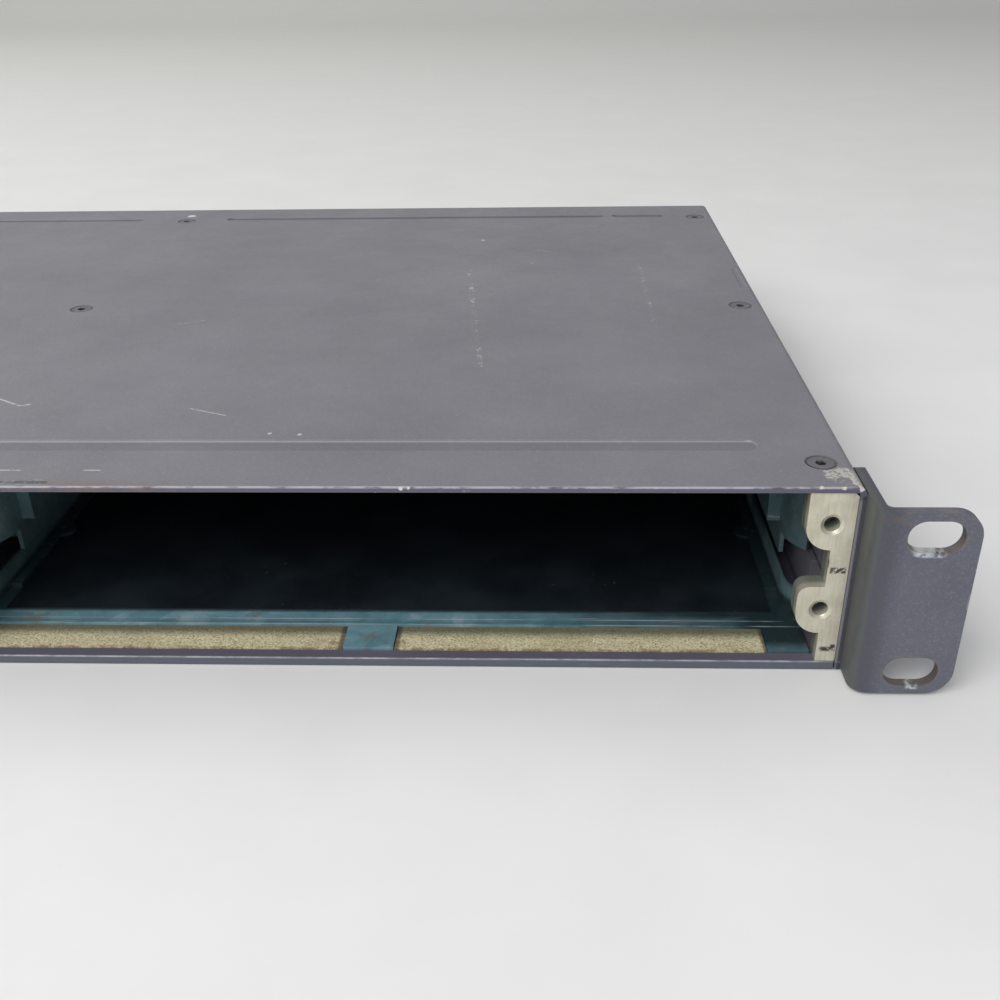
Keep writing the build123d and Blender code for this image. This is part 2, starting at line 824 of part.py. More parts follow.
console_top = board_top + console_height
with BuildPart() as console_jacks:
    for centre in console_centres:
        block(
            (centre - console_half, centre + console_half),
            (socket_front, console_depth),
            (board_top, console_top),
        )
    for centre in console_centres:
        jack_cavity(centre, lan_rows[0], jack_cavity_depth)
console_jacks.part.label = "console_jacks"
export_step(console_jacks.part, "parts/console_jacks.step")

with BuildPart() as sfp_cages:
    for centre in sfp_centres:
        half = sfp_opening[0] / 2
        block(
            (centre - half - sfp_wall, centre + half + sfp_wall),
            (socket_front, sfp_depth),
            (board_top, board_top + sfp_opening[1] + 2 * sfp_wall),
        )
    for centre in sfp_centres:
        half = sfp_opening[0] / 2
        block(
            (centre - half, centre + half),
            (socket_front - 1, sfp_depth - 4),
            (board_top + sfp_wall, board_top + sfp_wall + sfp_opening[1]),
            Mode.SUBTRACT,
        )
sfp_cages.part.label = "sfp_cages"
export_step(sfp_cages.part, "parts/sfp_cages.step")

with BuildPart() as usb_sockets:
    block(
        (usb_centre - usb_body[0] / 2, usb_centre + usb_body[0] / 2),
        (socket_front, usb_depth),
        (board_top, board_top + usb_body[1]),
    )
    for height in usb_heights:
        half = usb_opening[0] / 2
        block(
            (usb_centre - half, usb_centre + half),
            (socket_front - 1, usb_mouth_depth),
            (height, height + usb_opening[1]),
            Mode.SUBTRACT,
        )
        block(
            (usb_centre - usb_tongue_half, usb_centre + usb_tongue_half),
            (usb_tongue_front, usb_mouth_depth),
            (height + usb_tongue_heights[0], height + usb_tongue_heights[1]),
        )
usb_sockets.part.label = "usb_sockets"
export_step(usb_sockets.part, "parts/usb_sockets.step")

with BuildPart() as light_pipes:
    for height in light_heights:
        rod_y(light_column, height, light_radius, (0.1, 8.0))
    block((light_column - 2, light_column + 2), (4.0, 8.0), (board_top, light_heights[-1] + 1.6))
light_pipes.part.label = "light_pipes"
export_step(light_pipes.part, "parts/light_pipes.step")

# ---------------------------------------------------------------- front panel of the left half
vent_field = (-131.5, -75.5, 26.5, 38.5)
vent_hole_radius = 1.6
vent_hole_pitch = 4.6


def panel_window(x, z):
    """Cut a window through the front panel."""
    span = (panel_front - 1, panel_front + panel_sheet + 1)
    block(
        (x[0] - port_clearance, x[1] + port_clearance),
        span,
        (z[0] - port_clearance, z[1] + port_clearance),
        Mode.SUBTRACT,
    )


with BuildPart() as front_panel:
    panel_back = panel_front + panel_sheet
    block((panel_left, panel_right), (panel_front, panel_back), (lip_height, panel_top - 0.6))
    block((panel_left, panel_right), (panel_back, 4.4), (lip_height, lip_height + 1.2))
    block(
        (panel_left + 1.0, panel_right),
        (panel_back, 17.0),
        (panel_top - 1.2, panel_top),
    )
    block((panel_left + 1.0, panel_right), (panel_front + 0.6, panel_back), (panel_top - 1.2, panel_top))
    panel_window((lan_left, lan_right), (board_top, lan_block_top))
    for centre in console_centres:
        panel_window((centre - console_half, centre + console_half), (board_top, console_top))
    for centre in sfp_centres:
        half = sfp_opening[0] / 2 + sfp_wall
        panel_window((centre - half, centre + half), (board_top, board_top + sfp_opening[1] + 2 * sfp_wall))
    panel_window(
        (usb_centre - usb_body[0] / 2, usb_centre + usb_body[0] / 2),
        (board_top, board_top + usb_body[1]),
    )
    panel_span = (panel_front - 1, panel_back + 1)
    rod_y(*power_button_place, power_button_radius + fit_gap, panel_span, Mode.SUBTRACT)
    rod_y(*reset_button_place, reset_button_radius + fit_gap, panel_span, Mode.SUBTRACT)
    for height in light_heights:
        rod_y(light_column, height, light_radius + 0.1, panel_span, Mode.SUBTRACT)
    columns = int((vent_field[1] - vent_field[0]) / vent_hole_pitch) + 1
    rows = int((vent_field[3] - vent_field[2]) / vent_hole_pitch) + 1
    for column in range(columns):
        for row in range(rows):
            hole_x = vent_field[0] + column * vent_hole_pitch
            hole_z = vent_field[2] + row * vent_hole_pitch
            rod_y(hole_x, hole_z, vent_hole_radius, panel_span, Mode.SUBTRACT)
    rod_z(cover_screw_columns[0], cover_screw_rows[0], cover_screw_radius, (40, 44), Mode.SUBTRACT)
front_panel.part.label = "front_panel"
export_step(front_panel.part, "parts/front_panel.step")

# ---------------------------------------------------------------- buttons and their switches
button_travel = 1.0
switch_front = 7.0
stem_radius = 1.4
stem_overlap = 1.0

with BuildPart() as power_button:
    rod_y(*power_button_place, power_button_radius, (-0.8, 3.0))
    fillet(power_button.edges().filter_by(GeomType.CIRCLE).sort_by(Axis.Y)[0], 0.5)
    rod_y(*power_button_place, power_button_radius + 1.2, (3.0 - 0.7, 3.6))
    rod_y(*power_button_place, stem_radius, (3.6, switch_front + stem_overlap))
power_button.part.label = "power_button"
export_step(power_button.part, "parts/power_button.step")

with BuildPart() as reset_button:
    rod_y(*reset_button_place, reset_button_radius, (0.8, 3.0))
    rod_y(*reset_button_place, reset_button_radius + 1.0, (2.3, 3.4))
    rod_y(*reset_button_place, stem_radius, (3.4, switch_front + stem_overlap))
reset_button.part.label = "reset_button"
export_step(reset_button.part, "parts/reset_button.step")

with BuildPart() as button_switches:
    block((-211.0, -203.0), (switch_front, 13), (board_top, power_button_place[1] + 4))
    for x, z in (power_button_place, reset_button_place):
        stem_room = (switch_front - 1, switch_front + stem_overlap + button_travel + 0.6)
        rod_y(x, z, stem_radius + fit_gap, stem_room, Mode.SUBTRACT)
button_switches.part.label = "button_switches"
export_step(button_switches.part, "parts/button_switches.step")

# ---------------------------------------------------------------- processor, memory and storage
processor_centre = (-44.0, 122.0)
processor_size = 37.5
processor_top = board_top + 3.2
sink_size = 70.0
sink_base = 4.0
sink_top = 38.0
fin_count = 18
fin_thickness = 1.2

with BuildPart() as processor:
    x, y = processor_centre
    half = processor_size / 2
    block((x - half, x + half), (y - half, y + half), (board_top, processor_top - 1.4))
    block((x - half + 4, x + half - 4), (y - half + 4, y + half - 4), (processor_top - 1.4, processor_top))
processor.part.label = "processor"
export_step(processor.part, "parts/processor.step")

with BuildPart() as heatsink:
    x, y = processor_centre
    half = sink_size / 2
    block((x - half, x + half), (y - half, y + half), (processor_top, processor_top + sink_base))
    for k in range(fin_count):
        fin_left = x - half + k * (sink_size - fin_thickness) / (fin_count - 1)
        fin_span = (fin_left, fin_left + fin_thickness)
        block(fin_span, (y - half, y + half), (processor_top + sink_base, sink_top))
heatsink.part.label = "heatsink"
export_step(heatsink.part, "parts/heatsink.step")

memory_rows = (64.0, 73.0)
memory_span = (-196.0, -126.0)
memory_socket_height = 7.0
memory_height = 30.0
memory_chips = 4
memory_chip_width = 11.0
memory_chip_pitch = 15.5
with BuildPart() as memory_sockets:
    for row in memory_rows:
        block(memory_span, (row - 3, row + 3), (board_top, board_top + memory_socket_height))
        block(
            (memory_span[0] + 3, memory_span[1] - 3),
            (row - 0.8, row + 0.8),
            (board_top + 1.5, board_top + memory_socket_height + 1),
            Mode.SUBTRACT,
        )
memory_sockets.part.label = "memory_sockets"
export_step(memory_sockets.part, "parts/memory_sockets.step")

with BuildPart() as memory_modules:
    for row in memory_rows:
        left, right = memory_span[0] + 3.2, memory_span[1] - 3.2
        block((left, right), (row - 0.6, row + 0.6), (board_top + 1.8, board_top + memory_height))
        for k in range(memory_chips):
            chip_left = left + 4 + k * memory_chip_pitch
            chip_span = (chip_left, chip_left + memory_chip_width)
            block(chip_span, (row - 1.6, row - 0.6), (board_top + 12, board_top + 24))
memory_modules.part.label = "memory_modules"
export_step(memory_modules.part, "parts/memory_modules.step")

storage_x = (-118.0, -96.0)
storage_chip_x = (-116.0, -98.0)
storage_chip_spans = ((98.0, 116.0), (124.0, 142.0))
with BuildPart() as storage_module:
    block(storage_x, (92.0, 172.0), (board_top + 2.5, board_top + 3.5))
    for span in storage_chip_spans:
        block(storage_chip_x, span, (board_top + 3.5, board_top + 5.0))
    block(storage_x, (86.0, 92.6), (board_top, board_top + 4.8))
storage_module.part.label = "storage_module"
export_step(storage_module.part, "parts/storage_module.step")

battery_place = (-20.0, 66.0)
battery_radius = 10.0
battery_floor = board_top + 0.8
with BuildPart() as backup_battery:
    rod_z(*battery_place, battery_radius + 2.0, (board_top, board_top + 2.4))
    rod_z(*battery_place, battery_radius + 0.2, (battery_floor, board_top + 2.4), Mode.SUBTRACT)
    rod_z(*battery_place, battery_radius, (battery_floor, board_top + 4.0))
backup_battery.part.label = "backup_battery"
export_step(backup_battery.part, "parts/backup_battery.step")

capacitor_radius = 4.0
capacitor_height = 11.5
capacitor_pitch = 9.5
capacitor_row = [(-84.0 + capacitor_pitch * k, 70.0) for k in range(5)]
capacitor_column = [(0.0, 112.0 + capacitor_pitch * k) for k in range(5)]
with BuildPart() as board_capacitors:
    for x, y in capacitor_row + capacitor_column:
        rod_z(x, y, capacitor_radius, (board_top, board_top + capacitor_height))
board_capacitors.part.label = "board_capacitors"
export_step(board_capacitors.part, "parts/board_capacitors.step")

# Threaded plate inside the left front corner, which takes the left ear's screws
with BuildPart() as ear_nut_plate:
    block(
        (-inner_half + 0.1, -inner_half + 2.9),
        (4.6, bracket_front + bracket_tongue_depth),
        (lip_height + 1.4, panel_top - 1.6),
    )
    for height in side_screw_heights:
        rod_x(
            side_screw_depth,
            height,
            side_screw_radius + 0.05,
            (-inner_half - 1, -inner_half + 4),
            Mode.SUBTRACT,
        )
ear_nut_plate.part.label = "ear_nut_plate"
export_step(ear_nut_plate.part, "parts/ear_nut_plate.step")

# ---------------------------------------------------------------- fans
hub_radius = 9.0
blade_gap = 1.4
blade_count = 7
blade_pitch = 38.0
blade_chord = 15.0
blade_thickness = 0.9
motor_radius = 8.0
motor_plate = 2.0
spindle_radius = 1.0


def fan_frame(name, x, z, y, size):
    """Square fan frame with a round bore; its motor plate and four arms are at the back."""
    half = size / 2
    fan_bore = half - fan_rim
    arm_span = (y[1] - motor_plate, y[1])
    with BuildPart() as frame:
        block((x - half, x + half), y, (z - half, z + half))
        rod_y(x, z, fan_bore, (y[0] - 1, y[1] + 1), Mode.SUBTRACT)
        rod_y(x, z, motor_radius, arm_span)
        for turn in (45, 135):
            with Locations(Location((x, at((arm_span[0] + arm_span[1]) / 2), z), (0, turn, 0))):
                Box(2 * fan_bore + 1, motor_plate, 2.4)
        rod_y(x, z, spindle_radius + 0.05, (arm_span[0] - 1, y[1] - 0.6), Mode.SUBTRACT)
        for screw_x, screw_z in fan_screw_places(x, z, size):
            rod_y(screw_x, screw_z, fan_screw_radius, (y[0] - 1, y[1] + 1), Mode.SUBTRACT)
    frame.part.label = name
    export_step(frame.part, f"parts/{name}.step")


def fan_rotor(name, x, z, y, size):
    """Hub with pitched blades, turning about Y on a short spindle."""
    blade_radius = size / 2 - fan_rim - blade_gap
    depth_span = (y[0] + 1.5, y[1] - motor_plate - 0.6)
    middle = at((depth_span[0] + depth_span[1]) / 2)
    pitch = math.radians(blade_pitch)
    reach = hub_radius - 0.6
    chord = min(blade_chord, (depth_span[1] - depth_span[0] - 1) / math.cos(pitch))
    with BuildPart() as rotor:
        rod_y(x, z, hub_radius, depth_span)
        fillet(rotor.edges().filter_by(GeomType.CIRCLE).sort_by(Axis.Y)[0], 1.0)
        rod_y(x, z, spindle_radius, (depth_span[1] - 1, y[1] - 0.8))
        for k in range(blade_count):
            angle = 2 * math.pi * k / blade_count
            radial = Vector(math.cos(angle), 0, math.sin(angle))
            around = Vector(-math.sin(angle), 0, math.cos(angle))
            normal = around * math.cos(pitch) + Vector(0, 1, 0) * math.sin(pitch)
            centre = Vector(x, middle, z) + radial * ((reach + blade_radius) / 2)
            with BuildSketch(Plane(origin=centre, x_dir=radial, z_dir=normal)) as blade:
                Rectangle(blade_radius - reach, chord)
            extrude(blade.sketch, amount=blade_thickness / 2, both=True)
    rotor.part.label = name
    export_step(rotor.part, f"parts/{name}.step")


system_fan_span = (chassis_depth - inner_sheet - fan_depth, chassis_depth - inner_sheet)
for number, column in enumerate(fan_columns, 1):
    fan_frame(f"fan_{number}_frame", column, fan_centre_z, system_fan_span, fan_size)
    fan_rotor(f"fan_{number}_rotor", column, fan_centre_z, system_fan_span, fan_size)

with BuildPart() as fan_screws:
    for column in fan_columns:
        for x, z in fan_screw_places(column, fan_centre_z, fan_size):
            frame = Plane(origin=(x, rear, z), z_dir=(0, 1, 0))
            pan_head_screw(frame, 3.2, 1.8, fan_screw_radius - 0.05, 8.0)
fan_screws.part.label = "fan_screws"
export_step(fan_screws.part, "parts/fan_screws.step")

# ---------------------------------------------------------------- power supply
psu_x = (-217.6, -137.0)
psu_y = (92.0, rear_panel_front)
psu_z = (base_sheet, 41.2)
psu_sheet = 1.0
psu_fan_size = 36.0
psu_fan_depth = 20.0
psu_fan_centre = (-190.0, (psu_z[0] + psu_z[1]) / 2)
psu_fan_span = (psu_y[0] + psu_sheet, psu_y[0] + psu_sheet + psu_fan_depth)
inlet_centre = (-196.0, 21.5)
inlet_body = (27.6, 19.8)
inlet_bezel = (30.6, 24.0)
inlet_opening = (24.2, 16.2)
inlet_depth = 17.0
switch_centre = (-166.0, 21.5)
switch_body = (13.0, 19.2)
switch_bezel = (15.0, 21.6)
switch_wall = 1.0
switch_depth = 13.0
bezel_thickness = 1.6
psu_wiring_window = ((-167.0, -142.0), (14.0, 26.0))
psu_vents = (3, 6)
psu_vent_start = (-152.5, 9.8)

with BuildPart() as psu_case:
    block(psu_x, psu_y, (psu_z[0], psu_z[1] - psu_sheet))
    block(
        (psu_x[0] + psu_sheet, psu_x[1] - psu_sheet),
        (psu_y[0] + psu_sheet, psu_y[1] - psu_sheet),
        (psu_z[0] + psu_sheet, psu_z[1] + 1),
        Mode.SUBTRACT,
    )
    front_wall = (psu_y[0] - 1, psu_y[0] + 2)
    rear_wall = (psu_y[1] - 2, psu_y[1] + 1)
    rod_y(*psu_fan_centre, psu_fan_size / 2 - 2, front_wall, Mode.SUBTRACT)
    block(psu_wiring_window[0], front_wall, psu_wiring_window[1], Mode.SUBTRACT)
    for centre, body in ((inlet_centre, inlet_body), (switch_centre, switch_body)):
        block(
            (centre[0] - body[0] / 2 - 0.1, centre[0] + body[0] / 2 + 0.1),
            rear_wall,
            (centre[1] - body[1] / 2 - 0.1, centre[1] + body[1] / 2 + 0.1),
            Mode.SUBTRACT,
        )
    for column in range(psu_vents[0]):
        for row in range(psu_vents[1]):
            hole_x = psu_vent_start[0] + column * vent_hole_pitch
            hole_z = psu_vent_start[1] + row * vent_hole_pitch
            rod_y(hole_x, hole_z, vent_hole_radius, rear_wall, Mode.SUBTRACT)
psu_case.part.label = "psu_case"
export_step(psu_case.part, "parts/psu_case.step")

# A clinch nut on the lid takes the cover's left middle screw
lid_nut_radius = 3.1
with BuildPart() as psu_lid:
    block(psu_x, psu_y, (psu_z[1] - psu_sheet, psu_z[1]))
    lid_nut = (cover_screw_columns[0], cover_screw_rows[1])
    rod_z(*lid_nut, lid_nut_radius, (psu_z[1], cover_under - 0.1))
    rod_z(*lid_nut, cover_screw_radius, (psu_z[1] - psu_sheet - 1, cover_under), Mode.SUBTRACT)
psu_lid.part.label = "psu_lid"
export_step(psu_lid.part, "parts/psu_lid.step")

psu_board_z = (psu_z[0] + 4.5, psu_z[0] + 6.1)
psu_board_y = (psu_fan_span[1] + 4, psu_y[1] - 24)
with BuildPart() as psu_board:
    block((psu_x[0] + 3, psu_x[1] - 3), psu_board_y, psu_board_z)
    for x in (psu_x[0] + 8, psu_x[1] - 8):
        for y in (psu_board_y[0] + 5, psu_board_y[1] - 5):
            rod_z(x, y, 2.5, (psu_z[0] + psu_sheet, psu_board_z[0]))
psu_board.part.label = "psu_board"
export_step(psu_board.part, "parts/psu_board.step")

# Transformer, two mains capacitors, two heat spreaders and a row of output capacitors
transformer_span = ((-190.0, -164.0), (150.0, 178.0))
mains_capacitors = ((-202.0, 196.0), (-180.0, 196.0))
mains_capacitor_radius = 9.0
heat_spreaders = (((-212.0, -209.0), (122.0, 182.0)), ((-150.0, -147.0), (122.0, 205.0)))
output_capacitors = [(-196.0 + 11.0 * k, 128.0) for k in range(4)]
with BuildPart() as psu_components:
    psu_floor = psu_board_z[1]
    block(*transformer_span, (psu_floor, psu_floor + 24))
    for x, y in mains_capacitors:
        rod_z(x, y, mains_capacitor_radius, (psu_floor, psu_floor + 26))
    for spreader in heat_spreaders:
        block(*spreader, (psu_floor, psu_floor + 28))
    for x, y in output_capacitors:
        rod_z(x, y, capacitor_radius, (psu_floor, psu_floor + 18))
psu_components.part.label = "psu_components"
export_step(psu_components.part, "parts/psu_components.step")

fan_frame("psu_fan_frame", *psu_fan_centre, psu_fan_span, psu_fan_size)
fan_rotor("psu_fan_rotor", *psu_fan_centre, psu_fan_span, psu_fan_size)

with BuildPart() as mains_inlet:
    x, z = inlet_centre
    block(
        (x - inlet_bezel[0] / 2, x + inlet_bezel[0] / 2),
        (psu_y[1], psu_y[1] + bezel_thickness),
        (z - inlet_bezel[1] / 2, z + inlet_bezel[1] / 2),
    )
    block(
        (x - inlet_body[0] / 2, x + inlet_body[0] / 2),
        (psu_y[1] - inlet_depth - 2, psu_y[1]),
        (z - inlet_body[1] / 2, z + inlet_body[1] / 2),
    )
    with BuildSketch(Plane.XZ.offset(-at(psu_y[1] + bezel_thickness))):
        with Locations((x, z)):
            Rectangle(*inlet_opening)
        chamfer(vertices().group_by(Axis.Y)[-1], 4.0)
    extrude(amount=inlet_depth, mode=Mode.SUBTRACT)
    for pin_x, pin_z in ((x - 7, z - 2.5), (x, z + 2.5), (x + 7, z - 2.5)):
        block(
            (pin_x - 1.0, pin_x + 1.0),
            (psu_y[1] - inlet_depth + 1, psu_y[1] - 1.5),
            (pin_z - 2.0, pin_z + 2.0),
        )
mains_inlet.part.label = "mains_inlet"
export_step(mains_inlet.part, "parts/mains_inlet.step")

with BuildPart() as mains_switch_frame:
    x, z = switch_centre
    block(
        (x - switch_bezel[0] / 2, x + switch_bezel[0] / 2),
        (psu_y[1], psu_y[1] + bezel_thickness),
        (z - switch_bezel[1] / 2, z + switch_bezel[1] / 2),
    )
    block(
        (x - switch_body[0] / 2, x + switch_body[0] / 2),
        (psu_y[1] - switch_depth, psu_y[1]),
        (z - switch_body[1] / 2, z + switch_body[1] / 2),
    )
    block(
        (x - switch_body[0] / 2 + switch_wall, x + switch_body[0] / 2 - switch_wall),
        (psu_y[1] - switch_depth + 2, psu_y[1] + bezel_thickness + 1),
        (z - switch_body[1] / 2 + switch_wall, z + switch_body[1] / 2 - switch_wall),
        Mode.SUBTRACT,
    )
mains_switch_frame.part.label = "mains_switch_frame"
export_step(mains_switch_frame.part, "parts/mains_switch_frame.step")

# The rocker turns about an X axis just behind the bezel; at rest it is tipped to its off side
rocker_tilt = 10.0
rocker_half_length = 7.6
rocker_half_width = switch_body[0] / 2 - switch_wall - fit_gap
rocker_pivot_depth = psu_y[1] - 1.0
tilt = math.radians(rocker_tilt)
rocker_plane = Plane(
    origin=(switch_centre[0], at(rocker_pivot_depth), switch_centre[1]),
    x_dir=(0, math.cos(tilt), math.sin(tilt)),
    z_dir=(1, 0, 0),
)
with BuildPart() as mains_rocker:
    with BuildSketch(rocker_plane):
        with BuildLine():
            Polyline(
                (-2.0, -rocker_half_length + 1.5),
                (4.6, -rocker_half_length),
                (3.2, 0),
                (4.6, rocker_half_length),
                (-2.0, rocker_half_length - 1.5),
            )
            ThreePointArc(
                (-2.0, rocker_half_length - 1.5),
                (-6.5, 0),
                (-2.0, -rocker_half_length + 1.5),
            )
        make_face()
    extrude(amount=rocker_half_width, both=True)
mains_rocker.part.label = "mains_rocker"
export_step(mains_rocker.part, "parts/mains_rocker.step")

# ---------------------------------------------------------------- back of the module bay
backplane_y = (212.0, 213.6)
with BuildPart() as backplane_board:
    block((33.5, 205.0), backplane_y, (7.0, 40.0))
backplane_board.part.label = "backplane_board"
export_step(backplane_board.part, "parts/backplane_board.step")

connector_spans = ((52.0, 92.0), (145.0, 185.0))
with BuildPart() as backplane_connectors:
    for span in connector_spans:
        block(span, (bay_back, backplane_y[0]), (14.0, 28.0))
    for span in connector_spans:
        hollow = (bay_back - 1, backplane_y[0] - 1.5)
        block((span[0] + 1.5, span[1] - 1.5), hollow, (17.0, 25.0), Mode.SUBTRACT)
        block((span[0] + 2.5, span[1] - 2.5), (bay_back + 1.0, backplane_y[0]), (20.2, 21.8))
backplane_connectors.part.label = "backplane_connectors"
export_step(backplane_connectors.part, "parts/backplane_connectors.step")

# Angle pieces that hold the backplane to the bay floor
backplane_foot_columns = (44.0, bay_centre, 193.0)
with BuildPart() as backplane_feet:
    for x in backplane_foot_columns:
        block((x - 5, x + 5), (backplane_y[1], backplane_y[1] + 1.2), (floor_top, 30.0))
        block((x - 5, x + 5), (backplane_y[1] + 1.2, backplane_y[1] + 11), (floor_top, floor_top + 1.2))
backplane_feet.part.label = "backplane_feet"
export_step(backplane_feet.part, "parts/backplane_feet.step")

# Flat ribbon from the board's right edge round the divider's end to the back of the backplane
ribbon_height = (14.0, 34.0)
ribbon_thickness = 1.0
ribbon_x = 12.6
ribbon_y = 224.0
ribbon_start = 160.0
ribbon_end = 70.0
ribbon_bend = 8.0
with BuildPart() as backplane_ribbon:
    with BuildSketch(Plane.XY.offset(ribbon_height[0])):
        with BuildLine():
            FilletPolyline(
                (ribbon_x, at(ribbon_start)),
                (ribbon_x, at(ribbon_y)),
                (ribbon_end, at(ribbon_y)),
                radius=ribbon_bend,
            )
            Line((ribbon_end, at(ribbon_y)), (ribbon_end, at(ribbon_y + ribbon_thickness)))
            FilletPolyline(
                (ribbon_end, at(ribbon_y + ribbon_thickness)),
                (ribbon_x - ribbon_thickness, at(ribbon_y + ribbon_thickness)),
                (ribbon_x - ribbon_thickness, at(ribbon_start)),
                radius=ribbon_bend + ribbon_thickness,
            )
            Line((ribbon_x - ribbon_thickness, at(ribbon_start)), (ribbon_x, at(ribbon_start)))
        make_face()
    extrude(amount=ribbon_height[1] - ribbon_height[0])
backplane_ribbon.part.label = "backplane_ribbon"
export_step(backplane_ribbon.part, "parts/backplane_ribbon.step")

with BuildPart() as ribbon_plugs:
    block((ribbon_x - ribbon_thickness - 6, ribbon_x - ribbon_thickness), (150, 170), (board_top, 35.0))
    block((58.0, 78.0), (backplane_y[1], ribbon_y), (13.0, 35.0))
ribbon_plugs.part.label = "ribbon_plugs"
export_step(ribbon_plugs.part, "parts/ribbon_plugs.step")

# ---------------------------------------------------------------- earth stud
nut_height = 3.2
neck_end = chassis_depth + nut_height + 0.2
with BuildPart() as earth_stud:
    rod_y(*earth_place, earth_neck_radius, (rear_panel_front - 4.0, neck_end))
    rod_y(*earth_place, earth_stud_radius, (neck_end, chassis_depth + earth_stud_reach))
    with BuildSketch(Plane.XZ.offset(-at(rear_panel_front - 2.4))) as stud_head:
        with Locations(earth_place):
            RegularPolygon(4.0, 6)
    extrude(amount=-2.4)
earth_stud.part.label = "earth_stud"
export_step(earth_stud.part, "parts/earth_stud.step")

with BuildPart() as earth_nut:
    with BuildSketch(Plane.XZ.offset(-at(chassis_depth))) as nut_outline:
        with Locations(earth_place):
            RegularPolygon(4.0, 6)
            Circle(earth_neck_radius + 0.05, mode=Mode.SUBTRACT)
    extrude(amount=-nut_height)
earth_nut.part.label = "earth_nut"
export_step(earth_nut.part, "parts/earth_nut.step")
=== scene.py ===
import json
import math

import bmesh
import bpy
from mathutils import Matrix, Vector


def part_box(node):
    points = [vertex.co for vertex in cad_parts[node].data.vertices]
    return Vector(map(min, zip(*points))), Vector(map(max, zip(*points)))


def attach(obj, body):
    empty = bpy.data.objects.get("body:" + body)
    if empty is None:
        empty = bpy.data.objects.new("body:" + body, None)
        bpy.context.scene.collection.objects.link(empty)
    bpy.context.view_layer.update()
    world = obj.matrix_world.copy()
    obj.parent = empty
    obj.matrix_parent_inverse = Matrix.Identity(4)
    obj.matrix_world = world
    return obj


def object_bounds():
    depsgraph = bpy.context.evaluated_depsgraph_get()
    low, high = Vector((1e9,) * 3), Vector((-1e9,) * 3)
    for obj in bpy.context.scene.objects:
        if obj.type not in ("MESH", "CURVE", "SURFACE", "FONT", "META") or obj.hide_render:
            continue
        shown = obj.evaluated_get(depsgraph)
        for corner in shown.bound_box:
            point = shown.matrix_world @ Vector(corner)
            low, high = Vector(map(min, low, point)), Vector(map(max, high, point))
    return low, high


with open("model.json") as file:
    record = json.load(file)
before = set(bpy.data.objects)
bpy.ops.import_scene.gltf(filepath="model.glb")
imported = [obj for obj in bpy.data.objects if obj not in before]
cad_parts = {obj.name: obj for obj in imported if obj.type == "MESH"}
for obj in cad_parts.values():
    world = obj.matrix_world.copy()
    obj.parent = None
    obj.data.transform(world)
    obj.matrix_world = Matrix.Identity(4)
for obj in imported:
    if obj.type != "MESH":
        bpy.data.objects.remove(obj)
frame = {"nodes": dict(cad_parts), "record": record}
cad_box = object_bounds()
nodes = frame["nodes"]
scene = bpy.context.scene

MM = 0.001
ear_reach = 8.6 * MM
front = cad_box[0][1] + ear_reach
top = cad_box[1][2]
half_width = 221 * MM
bay_middle = 118.7 * MM
slot_column = 232.55 * MM
slot_half_pitch = 15.875 * MM
middle_height = 22.1 * MM
screw_columns_mm = (-214.3, 20.0, 214.3)
screw_rows_mm = (11.4, 115.0, 222.0)


def tone(red, green, blue):
    """A display colour, 0 to 255 a channel, as a linear colour."""
    linear = []
    for channel in (red, green, blue):
        share = channel / 255
        linear.append(share / 12.92 if share <= 0.04045 else ((share + 0.055) / 1.055) ** 2.4)
    return (*linear, 1.0)


